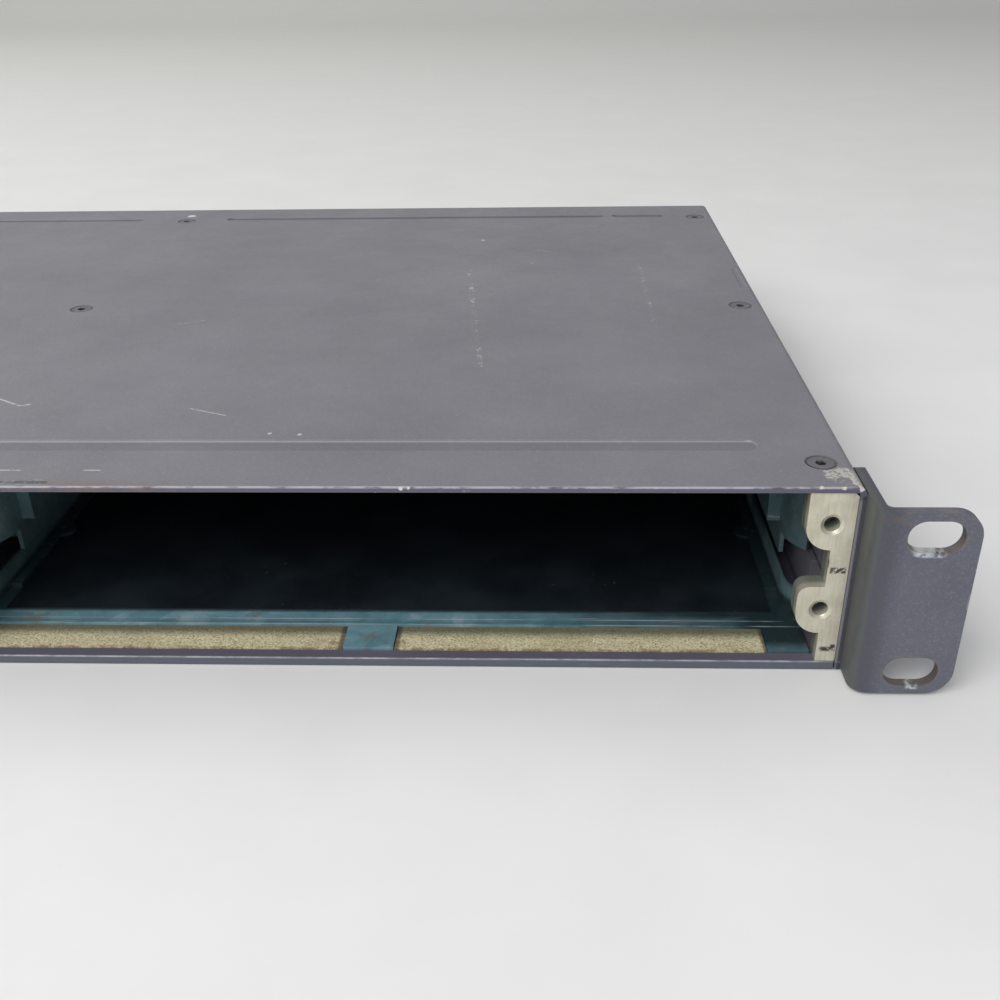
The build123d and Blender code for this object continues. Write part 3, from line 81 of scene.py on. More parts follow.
# ---------------------------------------------------------------- materials
class Finish:
    """A node material, built up step by step. Places are in metres, in the row frame."""

    def __init__(self, name, metallic=0.0, roughness=0.5):
        self.material = bpy.data.materials.new(name)
        self.material.use_nodes = True
        self.tree = self.material.node_tree
        self.shader = self.tree.nodes["Principled BSDF"]
        self.shader.inputs["Metallic"].default_value = metallic
        self.shader.inputs["Roughness"].default_value = roughness
        self.place = self.add("TexCoord").outputs["Object"]
        split = self.add("SeparateXYZ")
        self.feed(split.inputs[0], self.place)
        self.x, self.y, self.z = split.outputs

    def add(self, kind, **settings):
        made = self.tree.nodes.new("ShaderNode" + kind)
        for key, value in settings.items():
            setattr(made, key, value)
        return made

    def feed(self, socket, value):
        if isinstance(value, bpy.types.NodeSocket):
            self.tree.links.new(value, socket)
        else:
            socket.default_value = value

    def calc(self, operation, *values):
        made = self.add("Math", operation=operation)
        for socket, value in zip(made.inputs, values):
            self.feed(socket, value)
        return made.outputs[0]

    def span(self, value, low, high, out_low=0.0, out_high=1.0):
        """value from low to high, eased into out_low to out_high."""
        made = self.add("MapRange", interpolation_type="SMOOTHSTEP")
        for socket, given in zip(made.inputs, (value, low, high, out_low, out_high)):
            self.feed(socket, given)
        return made.outputs[0]

    def stretched(self, stretch, turn):
        """The place, scaled by stretch on each axis and turned in degrees about Z."""
        made = self.add("Mapping")
        self.feed(made.inputs["Vector"], self.place)
        made.inputs["Rotation"].default_value = (0, 0, math.radians(turn))
        made.inputs["Scale"].default_value = stretch
        return made.outputs[0]

    def noise(self, size_mm, detail, roughness=0.5, stretch=None, turn=0.0):
        """Noise from 0 to 1 with features of about this size."""
        made = self.add("TexNoise")
        self.feed(made.inputs["Vector"], self.stretched(stretch, turn) if stretch else self.place)
        made.inputs["Scale"].default_value = 1 / (size_mm * MM)
        made.inputs["Detail"].default_value = detail
        made.inputs["Roughness"].default_value = roughness
        return made.outputs["Fac"]

    def cells(self, size_mm):
        """How far it is to the nearest of scattered points, in cells of this size."""
        made = self.add("TexVoronoi")
        self.feed(made.inputs["Vector"], self.place)
        made.inputs["Scale"].default_value = 1 / (size_mm * MM)
        return made.outputs["Distance"]

    def within(self, value, centre, half, soft):
        """1 where value is within half of centre, fading to 0 over soft."""
        away = self.calc("ABSOLUTE", self.calc("SUBTRACT", value, centre))
        return self.span(away, half, half + soft, 1.0, 0.0)

    def both(self, *masks):
        """1 only where every mask is 1."""
        made = masks[0]
        for mask in masks[1:]:
            made = self.calc("MULTIPLY", made, mask)
        return made

    def either(self, *masks):
        """The strongest of the masks."""
        made = masks[0]
        for mask in masks[1:]:
            made = self.calc("MAXIMUM", made, mask)
        return made

    def spot(self, place, radius_mm, ragged_mm):
        """A round patch, ragged by noise, about a place in metres."""
        away = self.add("VectorMath", operation="DISTANCE")
        self.feed(away.inputs[0], self.place)
        away.inputs[1].default_value = place
        shake = self.calc("MULTIPLY_ADD", self.noise(1.1, 2), 2 * ragged_mm * MM, -ragged_mm * MM)
        reach = self.calc("ADD", away.outputs["Value"], shake)
        return self.span(reach, 0.8 * radius_mm * MM, radius_mm * MM, 1.0, 0.0)

    def streak(self, start, end, width_mm, broken):
        """A straight mark on a level face from start to end (x, y), broken up by noise."""
        start, end = Vector((*start, 0)), Vector((*end, 0))
        along = (end - start).normalized()
        across = Vector((-along.y, along.x, 0))
        shifted = self.add("VectorMath", operation="SUBTRACT")
        self.feed(shifted.inputs[0], self.place)
        shifted.inputs[1].default_value = start
        reach = []
        for direction in (along, across):
            dot = self.add("VectorMath", operation="DOT_PRODUCT")
            self.feed(dot.inputs[0], shifted.outputs["Vector"])
            dot.inputs[1].default_value = direction
            reach.append(dot.outputs["Value"])
        half = (end - start).length / 2
        mark = self.both(
            self.within(reach[0], half, half, 0.6 * MM),
            self.within(reach[1], 0.0, 0.35 * width_mm * MM, 0.35 * width_mm * MM),
        )
        return self.both(mark, self.span(self.noise(1.8, 3, 0.7), broken, broken + 0.08))

    def nearest(self, value, places):
        """How far value is from the nearest of these places."""
        gaps = [self.calc("ABSOLUTE", self.calc("SUBTRACT", value, place)) for place in places]
        made = gaps[0]
        for gap in gaps[1:]:
            made = self.calc("MINIMUM", made, gap)
        return made

    def screw_rim_shade(self, radius_mm):
        """A dark ring of this radius about each of the cover's screws: painted shade in the gap round each
        head.
        """
        across = self.nearest(self.x, [column * MM for column in screw_columns_mm])
        along = self.nearest(self.y, [front + row * MM for row in screw_rows_mm])
        squares = self.calc("ADD", self.calc("MULTIPLY", across, across), self.calc("MULTIPLY", along, along))
        ring = self.within(self.calc("SQRT", squares), radius_mm * MM, 0.12 * MM, 0.12 * MM)
        return self.both(ring, self.span(self.z, top - 0.6 * MM, top - 0.4 * MM))

    def specks(self, size_mm, radius, share):
        """Scattered points: radius is part of a cell, share how many cells have one."""
        point = self.span(self.cells(size_mm), radius * 0.6, radius, 1.0, 0.0)
        chosen = self.span(self.noise(size_mm * 4, 1), 1 - share, 1.02 - share)
        return self.both(point, chosen)

    def ramp(self, value, *stops):
        """A colour ramp through (position, colour) stops."""
        made = self.add("ValToRGB")
        ramp = made.color_ramp
        while len(ramp.elements) < len(stops):
            ramp.elements.new(0.5)
        for element, (position, colour) in zip(ramp.elements, stops):
            element.position = position
            element.color = colour
        self.feed(made.inputs[0], value)
        return made.outputs[0]

    def mix(self, share, first, second):
        made = self.add("Mix", data_type="RGBA")
        for socket, value in ((made.inputs[0], share), (made.inputs[6], first), (made.inputs[7], second)):
            self.feed(socket, value)
        return made.outputs[2]

    def blend(self, share, first, second):
        """The same as mix, for numbers."""
        made = self.add("Mix", data_type="FLOAT")
        for socket, value in zip(made.inputs[:1] + made.inputs[2:4], (share, first, second)):
            self.feed(socket, value)
        return made.outputs[0]

    def finish(self, colour, roughness=None, relief=(), metallic=None):
        """Feed the shader. relief is (height, depth in mm) pairs, each bump laid on the one before."""
        self.feed(self.shader.inputs["Base Color"], colour)
        if roughness is not None:
            self.feed(self.shader.inputs["Roughness"], roughness)
        if metallic is not None:
            self.feed(self.shader.inputs["Metallic"], metallic)
        normal = None
        for height, depth_mm in relief:
            bump = self.add("Bump")
            bump.inputs["Distance"].default_value = depth_mm * MM
            self.feed(bump.inputs["Height"], height)
            if normal is not None:
                self.feed(bump.inputs["Normal"], normal)
            normal = bump.outputs[0]
        if normal is not None:
            self.feed(self.shader.inputs["Normal"], normal)
        return self.material


pale_scuff = tone(205, 200, 198)
worn_line = tone(192, 190, 198)
dust = tone(172, 166, 160)


def powder_paint(name, dark, light, shine=(0.42, 0.56)):
    """Satin powder paint with its orange peel, cloudy dulling and dust."""
    made = Finish(name)
    cloud = made.noise(38, 4, 0.62)
    grain = made.noise(0.55, 2, 0.6)
    colour = made.ramp(cloud, (0.32, dark), (0.68, light))
    colour = made.mix(made.span(grain, 0.45, 0.85, 0.0, 0.3), colour, tone(150, 144, 152))
    dusty = made.both(made.specks(2.2, 0.10, 0.45), made.span(made.noise(9, 2), 0.5, 0.6))
    colour = made.mix(made.calc("MULTIPLY", dusty, 0.45), colour, dust)
    rough = made.span(made.noise(16, 4, 0.7), 0.3, 0.7, *shine)
    relief = [(made.noise(1.1, 3, 0.6), 0.05), (grain, 0.02)]
    return made, colour, rough, relief


def cover_paint():
    """The case's paint: painted shade in the grooves, on the front faces of the cover and lip, in the side
    seam and round the screws, a painted highlight on the front groove's far wall, worn edges, a bare corner,
    chips, scratches and residue.
    """
    made, colour, rough, relief = powder_paint("chassis_paint", tone(108, 107, 114), tone(117, 116, 123))
    edge_noise = made.noise(2.2, 3, 0.7, stretch=(0.35, 1, 1))
    sunk = made.both(
        made.span(made.z, top - 0.06 * MM, top - 0.2 * MM),
        made.span(made.z, top - 1.5 * MM, top - 1.2 * MM),
    )
    in_front_groove = made.both(made.within(made.y, front + 19.8 * MM, 2.4 * MM, 0.4 * MM), sunk)
    in_rear_groove = made.both(made.within(made.y, front + 224.6 * MM, 1.6 * MM, 0.3 * MM), sunk)
    shaded = made.either(
        made.calc("MULTIPLY", in_front_groove, 0.2),
        made.calc("MULTIPLY", in_rear_groove, 0.6),
    )
    colour = made.mix(shaded, colour, tone(60, 57, 66))
    # Painted highlight: a pale line along the front groove's far wall, where it faces the light.
    groove_wall_highlight = made.both(
        made.within(made.y, front + 22.05 * MM, 0.2 * MM, 0.15 * MM),
        made.span(made.z, top - 0.02 * MM, top - 0.08 * MM),
    )
    colour = made.mix(made.calc("MULTIPLY", groove_wall_highlight, 0.4), colour, tone(170, 168, 176))
    # Painted shade: the cover's front face, the lip's top and the lip's front face are darkened where shade
    # falls on them.
    cover_face_shade = made.both(
        made.span(made.y, front + 0.25 * MM, front + 0.05 * MM),
        made.span(made.z, top - 3 * MM, top - 2.6 * MM),
    )
    lip_top_shade = made.both(
        made.span(made.z, 3.2 * MM, 2.6 * MM),
        made.span(made.y, front + 0.2 * MM, front + 0.5 * MM),
    )
    lip_face_shade = made.both(
        made.span(made.y, front + 0.3 * MM, front + 0.1 * MM),
        made.span(made.z, 2.1 * MM, 1.9 * MM),
    )
    front_face_shade = made.either(
        made.calc("MULTIPLY", cover_face_shade, 0.7),
        made.calc("MULTIPLY", lip_top_shade, 0.6),
    )
    colour = made.mix(front_face_shade, colour, tone(70, 66, 86))
    colour = made.mix(made.calc("MULTIPLY", lip_face_shade, 0.7), colour, tone(66, 74, 88))
    # Painted shade in the crevice at the front of the cover's side, next to the ear.
    side_seam_shade = made.both(
        made.span(made.calc("ABSOLUTE", made.x), 220.1 * MM, 220.4 * MM),
        made.span(made.y, front + 0.5 * MM, front + 0.3 * MM),
        made.span(made.z, top - 1.4 * MM, top - 2.4 * MM),
    )
    colour = made.mix(made.calc("MULTIPLY", side_seam_shade, 0.8), colour, tone(42, 43, 48))
    on_top = made.span(made.z, top - 1.5 * MM, top - 1.2 * MM)
    front_edge = made.both(
        made.within(made.y, front + 0.15 * MM, 0.2 * MM, 0.15 * MM),
        made.span(made.z, top - 0.35 * MM, top - 0.2 * MM),
        made.span(edge_noise, 0.32, 0.56),
    )
    lip_edge = made.both(
        made.within(made.y, front + 0.1 * MM, 0.22 * MM, 0.12 * MM),
        made.within(made.z, 2.15 * MM, 0.12 * MM, 0.1 * MM),
        made.span(edge_noise, 0.38, 0.6),
    )
    side_edge = made.both(
        made.within(made.calc("ABSOLUTE", made.x), half_width - 0.6 * MM, 0.5 * MM, 0.4 * MM),
        on_top,
        made.span(made.noise(3.0, 3, 0.7, stretch=(1, 0.4, 1)), 0.6, 0.7),
    )
    kept = made.calc("SUBTRACT", 1.0, made.spot((216.8 * MM, front + 3.0 * MM, top), 1.7, 0.7))
    corner = made.both(
        made.either(
            made.spot((217.4 * MM, front + 5.4 * MM, top), 3.9, 1.4),
            made.spot((219.6 * MM, front + 2.6 * MM, top), 1.7, 1.0),
        ),
        on_top,
        kept,
        made.span(made.noise(2.2, 4, 0.66), 0.3, 0.38),
    )
    chips = made.either(
        made.spot((19.7 * MM, 110.2 * MM, top), 1.7, 1.0),
        made.spot((211.9 * MM, front + 0.1 * MM, top), 0.6, 0.6),
        made.spot((216.3 * MM, front, top), 0.65, 0.6),
        made.spot((219.9 * MM, front + 0.3 * MM, top), 0.9, 0.8),
        made.spot((128.9 * MM, front, top - 0.3 * MM), 0.45, 0.5),
        made.spot((130.4 * MM, front, top - 0.2 * MM), 0.35, 0.5),
    )
    scratches = made.either(
        made.streak((74.6 * MM, -79.8 * MM), (84 * MM, -83.9 * MM), 0.32, 0.42),
        made.streak((25 * MM, -72.9 * MM), (32.8 * MM, -77.8 * MM), 0.5, 0.4),
        made.streak((33 * MM, -77.9 * MM), (35.5 * MM, -77.2 * MM), 0.7, 0.4),
        made.streak((48 * MM, -22 * MM), (60 * MM, -16 * MM), 0.25, 0.5),
        made.streak((150 * MM, 60 * MM), (163 * MM, 52 * MM), 0.25, 0.5),
        made.streak((38 * MM, front + 7.6 * MM), (48 * MM, front + 7.5 * MM), 0.4, 0.4),
        made.streak((62 * MM, front + 7.5 * MM), (65 * MM, front + 7.5 * MM), 0.4, 0.3),
        made.streak((-150 * MM, 12 * MM), (-128 * MM, 22 * MM), 0.4, 0.45),
        made.streak((-70 * MM, -40 * MM), (-64 * MM, -52 * MM), 0.5, 0.42),
    )
    residue = made.either(
        made.streak((132.6 * MM, 40 * MM), (141.2 * MM, -53 * MM), 1.3, 0.56),
        made.streak((188.6 * MM, 38 * MM), (188 * MM, -23 * MM), 1.2, 0.57),
        made.streak((132 * MM, 40.5 * MM), (158 * MM, 40.5 * MM), 1.0, 0.62),
    )
    specks = made.either(
        made.spot((135.8 * MM, 70.3 * MM, top), 0.8, 0.4),
        made.spot((96.7 * MM, -93.9 * MM, top), 0.6, 0.3),
        made.spot((103.5 * MM, -94.4 * MM, top), 0.6, 0.3),
    )
    grime = made.both(
        made.within(made.x, 64 * MM, 20 * MM, 9 * MM),
        made.span(made.y, front + 5 * MM, front + 0.5 * MM),
        on_top,
        made.span(made.noise(5, 4, 0.75, stretch=(0.5, 1, 1)), 0.42, 0.62),
    )
    rub = made.both(
        made.span(made.noise(60, 4, 0.7), 0.55, 0.75),
        made.span(made.noise(1.2, 3, 0.7), 0.4, 0.7),
    )
    colour = made.mix(made.calc("MULTIPLY", rub, 0.18), colour, dust)
    colour = made.mix(made.calc("MULTIPLY", grime, 0.5), colour, tone(112, 96, 84))
    colour = made.mix(made.calc("MULTIPLY", residue, 0.42), colour, pale_scuff)
    metal = made.either(side_edge, corner)
    worn = made.either(front_edge, made.calc("MULTIPLY", lip_edge, 0.65))
    abraded = made.both(
        made.span(made.y, front + 9 * MM, front + 1 * MM),
        on_top,
        made.span(made.noise(0.8, 3, 0.7, stretch=(0.5, 1, 1)), 0.64, 0.7),
        made.span(made.noise(12, 3, 0.6), 0.42, 0.6),
    )
    bare = made.mix(made.span(made.noise(1.3, 3, 0.7), 0.44, 0.54), tone(150, 150, 142), pale_scuff)
    colour = made.mix(metal, colour, bare)
    colour = made.mix(made.calc("MULTIPLY", worn, 0.65), colour, worn_line)
    colour = made.mix(made.calc("MULTIPLY", abraded, 0.45), colour, pale_scuff)
    dark_mark = made.streak((46 * MM, front + 2.3 * MM), (56 * MM, front + 1.9 * MM), 1.1, 0.42)
    # dark joins painted shade in the gaps round the screw heads with a dark mark on the top.
    dark = made.either(made.calc("MULTIPLY", made.screw_rim_shade(3.2), 0.75), made.both(dark_mark, on_top))
    colour = made.mix(made.calc("MULTIPLY", dark, 0.8), colour, tone(56, 52, 56))
    pale = made.either(chips, made.calc("MULTIPLY", scratches, 0.6), made.calc("MULTIPLY", specks, 0.6))
    colour = made.mix(pale, colour, pale_scuff)
    rough = made.blend(metal, rough, 0.38)
    relief.insert(0, (made.either(metal, pale), -0.05))
    return made.finish(colour, rough, relief, metallic=made.calc("MULTIPLY", metal, 0.45))


def ear_paint():
    """Coarser paint, rubbed to bare metal round the slots by rack screws."""
    made, colour, rough, relief = powder_paint("ear_paint", tone(85, 87, 98), tone(94, 96, 107), (0.45, 0.6))
    out = made.calc("SUBTRACT", made.calc("ABSOLUTE", made.x), slot_column)
    from_middle = made.calc("ABSOLUTE", made.calc("SUBTRACT", made.z, middle_height))
    up = made.calc("SUBTRACT", from_middle, slot_half_pitch)
    along = made.calc("MAXIMUM", made.calc("SUBTRACT", made.calc("ABSOLUTE", out), 2 * MM), 0.0)
    reach = made.calc(
        "SQRT", made.calc("ADD", made.calc("MULTIPLY", along, along), made.calc("MULTIPLY", up, up))
    )
    patchy = made.noise(2.0, 4, 0.7)
    below_upper = made.both(
        made.span(reach, 4.15 * MM, 4.75 * MM, 1.0, 0.0),
        made.within(made.z, 34.0 * MM, 0.8 * MM, 0.5 * MM),
        made.within(out, -0.9 * MM, 2.2 * MM, 1.6 * MM),
        made.span(patchy, 0.38, 0.5),
    )
    below_lower = made.both(
        made.span(reach, 4.2 * MM, 4.6 * MM, 1.0, 0.0),
        made.within(made.z, 2.2 * MM, 0.4 * MM, 0.4 * MM),
        made.within(out, 0.8 * MM, 0.8 * MM, 0.7 * MM),
        made.span(patchy, 0.4, 0.52),
    )
    rim = made.both(
        made.span(reach, 3.75 * MM, 4.3 * MM, 1.0, 0.0),
        made.span(made.noise(3.2, 3, 0.7), 0.46, 0.58),
    )
    inside = made.span(reach, 3.55 * MM, 3.7 * MM, 1.0, 0.0)
    worn = made.calc("MULTIPLY", made.either(below_upper, below_lower), 0.85)
    grime = made.both(
        made.within(made.z, 43.0 * MM, 1.2 * MM, 1.4 * MM),
        made.span(made.noise(2.4, 3, 0.7, stretch=(0.6, 1, 1)), 0.48, 0.6),
    )
    colour = made.mix(made.calc("MULTIPLY", made.either(rim, grime), 0.45), colour, tone(122, 106, 98))
    colour = made.mix(made.calc("MULTIPLY", inside, 0.65), colour, tone(86, 74, 66))
    reach_in = made.calc("ABSOLUTE", made.x)
    # The ear's root: greenish bare metal at the edge of its leg, also darkened as painted shade.
    root_metal_and_shade = made.both(
        made.span(reach_in, 222.6 * MM, 221.6 * MM),
        made.span(made.noise(3, 3, 0.7), 0.2, 0.5, 0.6, 1.0),
    )
    # Painted shade: the bend darkens towards the chassis side.
    bend_shade = made.calc("MULTIPLY", made.span(reach_in, 228.5 * MM, 222.5 * MM), 0.72)
    colour = made.mix(bend_shade, colour, tone(58, 58, 66))
    colour = made.mix(made.calc("MULTIPLY", root_metal_and_shade, 0.5), colour, tone(84, 88, 80))
    scuffed = made.ramp(patchy, (0.45, tone(176, 188, 188)), (0.6, tone(208, 210, 208)))
    colour = made.mix(worn, colour, scuffed)
    outline = made.both(
        made.span(made.calc("ABSOLUTE", made.x), 240.8 * MM, 241.3 * MM),
        made.span(made.noise(3, 3, 0.7), 0.54, 0.64),
    )
    colour = made.mix(made.calc("MULTIPLY", outline, 0.3), colour, pale_scuff)
    rough = made.blend(worn, rough, 0.4)
    relief.insert(0, (worn, -0.05))
    return made.finish(colour, rough, relief, metallic=made.calc("MULTIPLY", worn, 0.45))


def panel_paint():
    """The same paint on the port panel, with thin pale lines round the groups of ports."""
    made, colour, rough, relief = powder_paint("panel_paint", tone(102, 101, 108), tone(111, 110, 117))
    lines = []
    outlines = ((-68, -0.6, 8.4, 40.6), (-160.6, -121.4, 8.4, 25.4), (-109, -73, 8.4, 21.6))
    for left, right, low, high in outlines:
        centre, middle = (left + right) / 2, (low + high) / 2
        half, tall = (right - left) / 2, (high - low) / 2
        outer = made.both(
            made.within(made.x, centre * MM, half * MM, 0.05 * MM),
            made.within(made.z, middle * MM, tall * MM, 0.05 * MM),
        )
        inner = made.both(
            made.within(made.x, centre * MM, (half - 0.35) * MM, 0.05 * MM),
            made.within(made.z, middle * MM, (tall - 0.35) * MM, 0.05 * MM),
        )
        lines.append(made.calc("SUBTRACT", outer, inner))
    face = made.span(made.y, front + 0.9 * MM, front + 0.6 * MM)
    drawn = made.both(made.either(*lines), face, made.span(made.noise(0.8, 2), 0.2, 0.4, 0.7, 1.0))
    colour = made.mix(made.calc("MULTIPLY", drawn, 0.8), colour, tone(206, 204, 206))
    scuff = made.both(made.span(made.noise(7, 4, 0.7, stretch=(0.3, 1, 1)), 0.66, 0.72), face)
    colour = made.mix(made.calc("MULTIPLY", scuff, 0.3), colour, pale_scuff)
    return made.finish(colour, rough, relief)


def galvanised():
    """Zinc-coated sheet: blue-green on the bay's floor, greyer and darker above it as painted shade, plain
    grey outside the bay. Painted shade also falls on the floor's right part and right front corner, and its
    fold lines carry painted highlights.
    """
    made = Finish("galvanised_steel", metallic=0.35)
    spangle = made.add("TexVoronoi")
    made.feed(spangle.inputs["Vector"], made.place)
    spangle.inputs["Scale"].default_value = 1 / (3.5 * MM)
    grey = made.add("RGBToBW")
    made.feed(grey.inputs[0], spangle.outputs["Color"])
    tint = made.calc("ADD", made.calc("MULTIPLY", grey.outputs[0], 0.35), made.noise(7, 4, 0.65))
    colour = made.ramp(
        tint, (0.35, tone(98, 142, 156)), (0.75, tone(128, 168, 180)), (0.95, tone(168, 192, 200))
    )
    stain = made.span(made.noise(11, 4, 0.7), 0.56, 0.72)
    colour = made.mix(made.calc("MULTIPLY", stain, 0.4), colour, tone(80, 92, 94))
    low_down = made.both(made.span(made.z, 6 * MM, 4 * MM), made.span(made.x, 14 * MM, 20 * MM))
    # Painted shade: the sheet above the bay's floor is darkened and greyed.
    upright_shade = made.calc("SUBTRACT", 0.6, made.calc("MULTIPLY", low_down, 0.6))
    colour = made.mix(upright_shade, colour, tone(78, 86, 82))
    outside = made.span(made.x, 16 * MM, 10 * MM)
    plain = made.ramp(
        tint, (0.35, tone(138, 141, 142)), (0.75, tone(166, 169, 170)), (0.95, tone(190, 192, 192))
    )
    colour = made.mix(outside, colour, plain)
    # Painted shade on the right part of the bay's floor.
    right_floor_shade = made.both(made.span(made.x, 130 * MM, 200 * MM), low_down)
    colour = made.mix(made.calc("MULTIPLY", right_floor_shade, 0.6), colour, tone(46, 62, 64))
    # Darker in a strip just in front of the film, as if the film reached further forward; painted shade on
    # the floor's right part and on its right front corner.
    film_edge_and_shade = made.both(
        made.either(
            made.span(made.y, front + 16.4 * MM, front + 17.6 * MM),
            made.both(
                made.span(made.y, front + 13.6 * MM, front + 16.6 * MM),
                made.span(made.x, 150 * MM, 200 * MM),
            ),
            made.both(
                made.span(made.y, front + 3.6 * MM, front + 7 * MM),
                made.span(made.x, 197 * MM, 205 * MM),
            ),
        ),
        low_down,
    )
    colour = made.mix(made.calc("MULTIPLY", film_edge_and_shade, 0.82), colour, tone(20, 32, 34))
    step = made.both(made.within(made.y, front + 13.2 * MM, 0.8 * MM, 0.1 * MM), low_down)
    colour = made.mix(made.calc("MULTIPLY", step, 0.35), colour, tone(50, 72, 80))
    # Painted highlights along the two folded edges of the floor's step.
    fold_highlights = made.both(
        made.either(
            made.within(made.y, front + 14.2 * MM, 0.12 * MM, 0.1 * MM),
            made.within(made.y, front + 12.15 * MM, 0.12 * MM, 0.1 * MM),
        ),
        low_down,
        made.span(made.noise(6, 3, 0.6, stretch=(0.4, 1, 1)), 0.35, 0.6),
    )
    colour = made.mix(made.calc("MULTIPLY", fold_highlights, 0.7), colour, tone(196, 210, 212))
    rust = made.both(
        made.within(made.y, front + 8 * MM, 7 * MM, 3 * MM),
        made.within(made.z, 2.5 * MM, 0.8 * MM, 0.5 * MM),
        made.span(made.noise(6, 4, 0.75), 0.55, 0.7),
    )
    colour = made.mix(made.calc("MULTIPLY", rust, 0.5), colour, tone(138, 112, 78))
    drawn = made.noise(0.5, 2, 0.6, stretch=(1, 0.03, 1))
    scratch = made.span(made.noise(0.9, 2, 0.5, stretch=(0.04, 1, 1), turn=24), 0.7, 0.74)
    colour = made.mix(made.calc("MULTIPLY", scratch, 0.35), colour, tone(205, 210, 210))
    rough = made.span(made.noise(9, 4, 0.7), 0.3, 0.75, 0.34, 0.58)
    return made.finish(colour, rough, [(tint, 0.02), (drawn, 0.006), (scratch, -0.02)])


def gasket_foam():
    """Speckled tan conductive foam, olive in the shade of its back edge, with brown stains."""
    made = Finish("gasket_tan", roughness=0.95)
    fleck = made.noise(0.45, 3, 0.7)
    colour = made.ramp(
        fleck,
        (0.32, tone(128, 118, 82)),
        (0.46, tone(196, 186, 150)),
        (0.58, tone(218, 208, 174)),
        (0.72, tone(242, 234, 208)),
    )
    cloud = made.span(made.noise(14, 3, 0.6), 0.4, 0.7)
    colour = made.mix(made.calc("MULTIPLY", cloud, 0.3), colour, tone(150, 138, 104))
    back = made.span(made.y, front + 6.8 * MM, front + 10.6 * MM)
    colour = made.mix(made.calc("MULTIPLY", back, 0.85), colour, tone(70, 72, 54))
    ends = made.either(
        made.spot((113 * MM, front + 6 * MM, 2.4 * MM), 3.4, 1.8),
        made.spot((125 * MM, front + 5 * MM, 2.4 * MM), 2.2, 1.4),
    )
    from_centre = made.calc("ABSOLUTE", made.calc("SUBTRACT", made.x, bay_middle))
    # Painted shade at each strip's ends, where the window walls cast shadow.
    end_shade = made.both(
        made.either(made.span(from_centre, 7.2 * MM, 6.4 * MM), made.span(from_centre, 86.3 * MM, 86.9 * MM)),
        made.span(made.noise(0.9, 2, 0.7), 0.3, 0.5, 0.5, 1.0),
    )
    colour = made.mix(made.calc("MULTIPLY", end_shade, 0.8), colour, tone(44, 48, 42))
    edge = made.span(made.y, front + 4.2 * MM, front + 3.3 * MM)
    brown = made.both(made.either(ends, edge), made.span(made.noise(2.5, 3, 0.7), 0.4, 0.6))
    colour = made.mix(made.calc("MULTIPLY", brown, 0.65), colour, tone(122, 92, 52))
    return made.finish(colour, relief=[(fleck, 0.25), (made.noise(3, 2), 0.2)])


def black_film():
    """Dark satin film with dust specks and a faint haze."""
    made = Finish("black_film")
    cloud = made.noise(24, 3, 0.6)
    colour = made.ramp(cloud, (0.35, tone(15, 22, 28)), (0.7, tone(22, 32, 39)))
    specks = made.either(made.specks(3.2, 0.07, 0.5), made.specks(7.0, 0.05, 0.55))
    colour = made.mix(made.calc("MULTIPLY", specks, 0.5), colour, tone(96, 104, 110))
    haze = made.both(made.span(made.noise(30, 4, 0.7), 0.5, 0.7), made.span(made.noise(0.8, 2), 0.4, 0.7))
    colour = made.mix(made.calc("MULTIPLY", haze, 0.14), colour, tone(70, 78, 88))
    rough = made.span(made.noise(12, 3), 0.3, 0.7, 0.42, 0.6)
    return made.finish(colour, rough, [(made.noise(0.6, 2), 0.012), (specks, 0.03)])


def bracket_plate():
    """Warm nickel plate, brushed upright, with scratches and two dark marks."""
    made = Finish("bracket_nickel", metallic=0.55)
    brushed = made.noise(0.35, 3, 0.6, stretch=(1, 1, 0.06))
    cloud = made.noise(6, 4, 0.65)
    colour = made.ramp(cloud, (0.3, tone(194, 189, 168)), (0.7, tone(220, 216, 198)))
    colour = made.mix(made.span(brushed, 0.4, 0.8, 0.0, 0.4), colour, tone(160, 152, 138))
    scratch = made.span(made.noise(1.2, 3, 0.6, stretch=(0.2, 1, 1.4), turn=35), 0.66, 0.7)
    colour = made.mix(made.calc("MULTIPLY", scratch, 0.5), colour, tone(238, 234, 224))
    mirrored = made.calc("ABSOLUTE", made.calc("SUBTRACT", made.x, bay_middle))
    marks = []
    for across, height, wide, tall in (
        (98.9, 24.9, 1.4, 0.45),
        (96.6, 26.8, 0.1, 0.9),
        (99.1, 5.3, 1.5, 0.3),
        (100.2, 5.6, 0.3, 0.6),
    ):
        marks.append(
            made.both(
                made.within(mirrored, across * MM, wide * MM, 0.4 * MM),
                made.within(made.z, height * MM, tall * MM, 0.5 * MM),
            )
        )
    face = made.span(made.y, front + 1.2 * MM, front + 0.8 * MM)
    marker = made.both(made.either(*marks), face, made.span(made.noise(0.9, 3, 0.7), 0.36, 0.5))
    colour = made.mix(made.calc("MULTIPLY", marker, 0.92), colour, tone(38, 36, 36))
    # Painted shade: the plate darkens toward a dark teal behind its front face, deeper in the bay.
    behind_shade = made.span(made.y, front + 1.5 * MM, front + 3 * MM)
    colour = made.mix(made.calc("MULTIPLY", behind_shade, 0.55), colour, tone(70, 92, 96))
    rough = made.span(made.noise(2.5, 3), 0.3, 0.75, 0.3, 0.5)
    return made.finish(colour, rough, [(brushed, 0.012), (scratch, -0.03)])


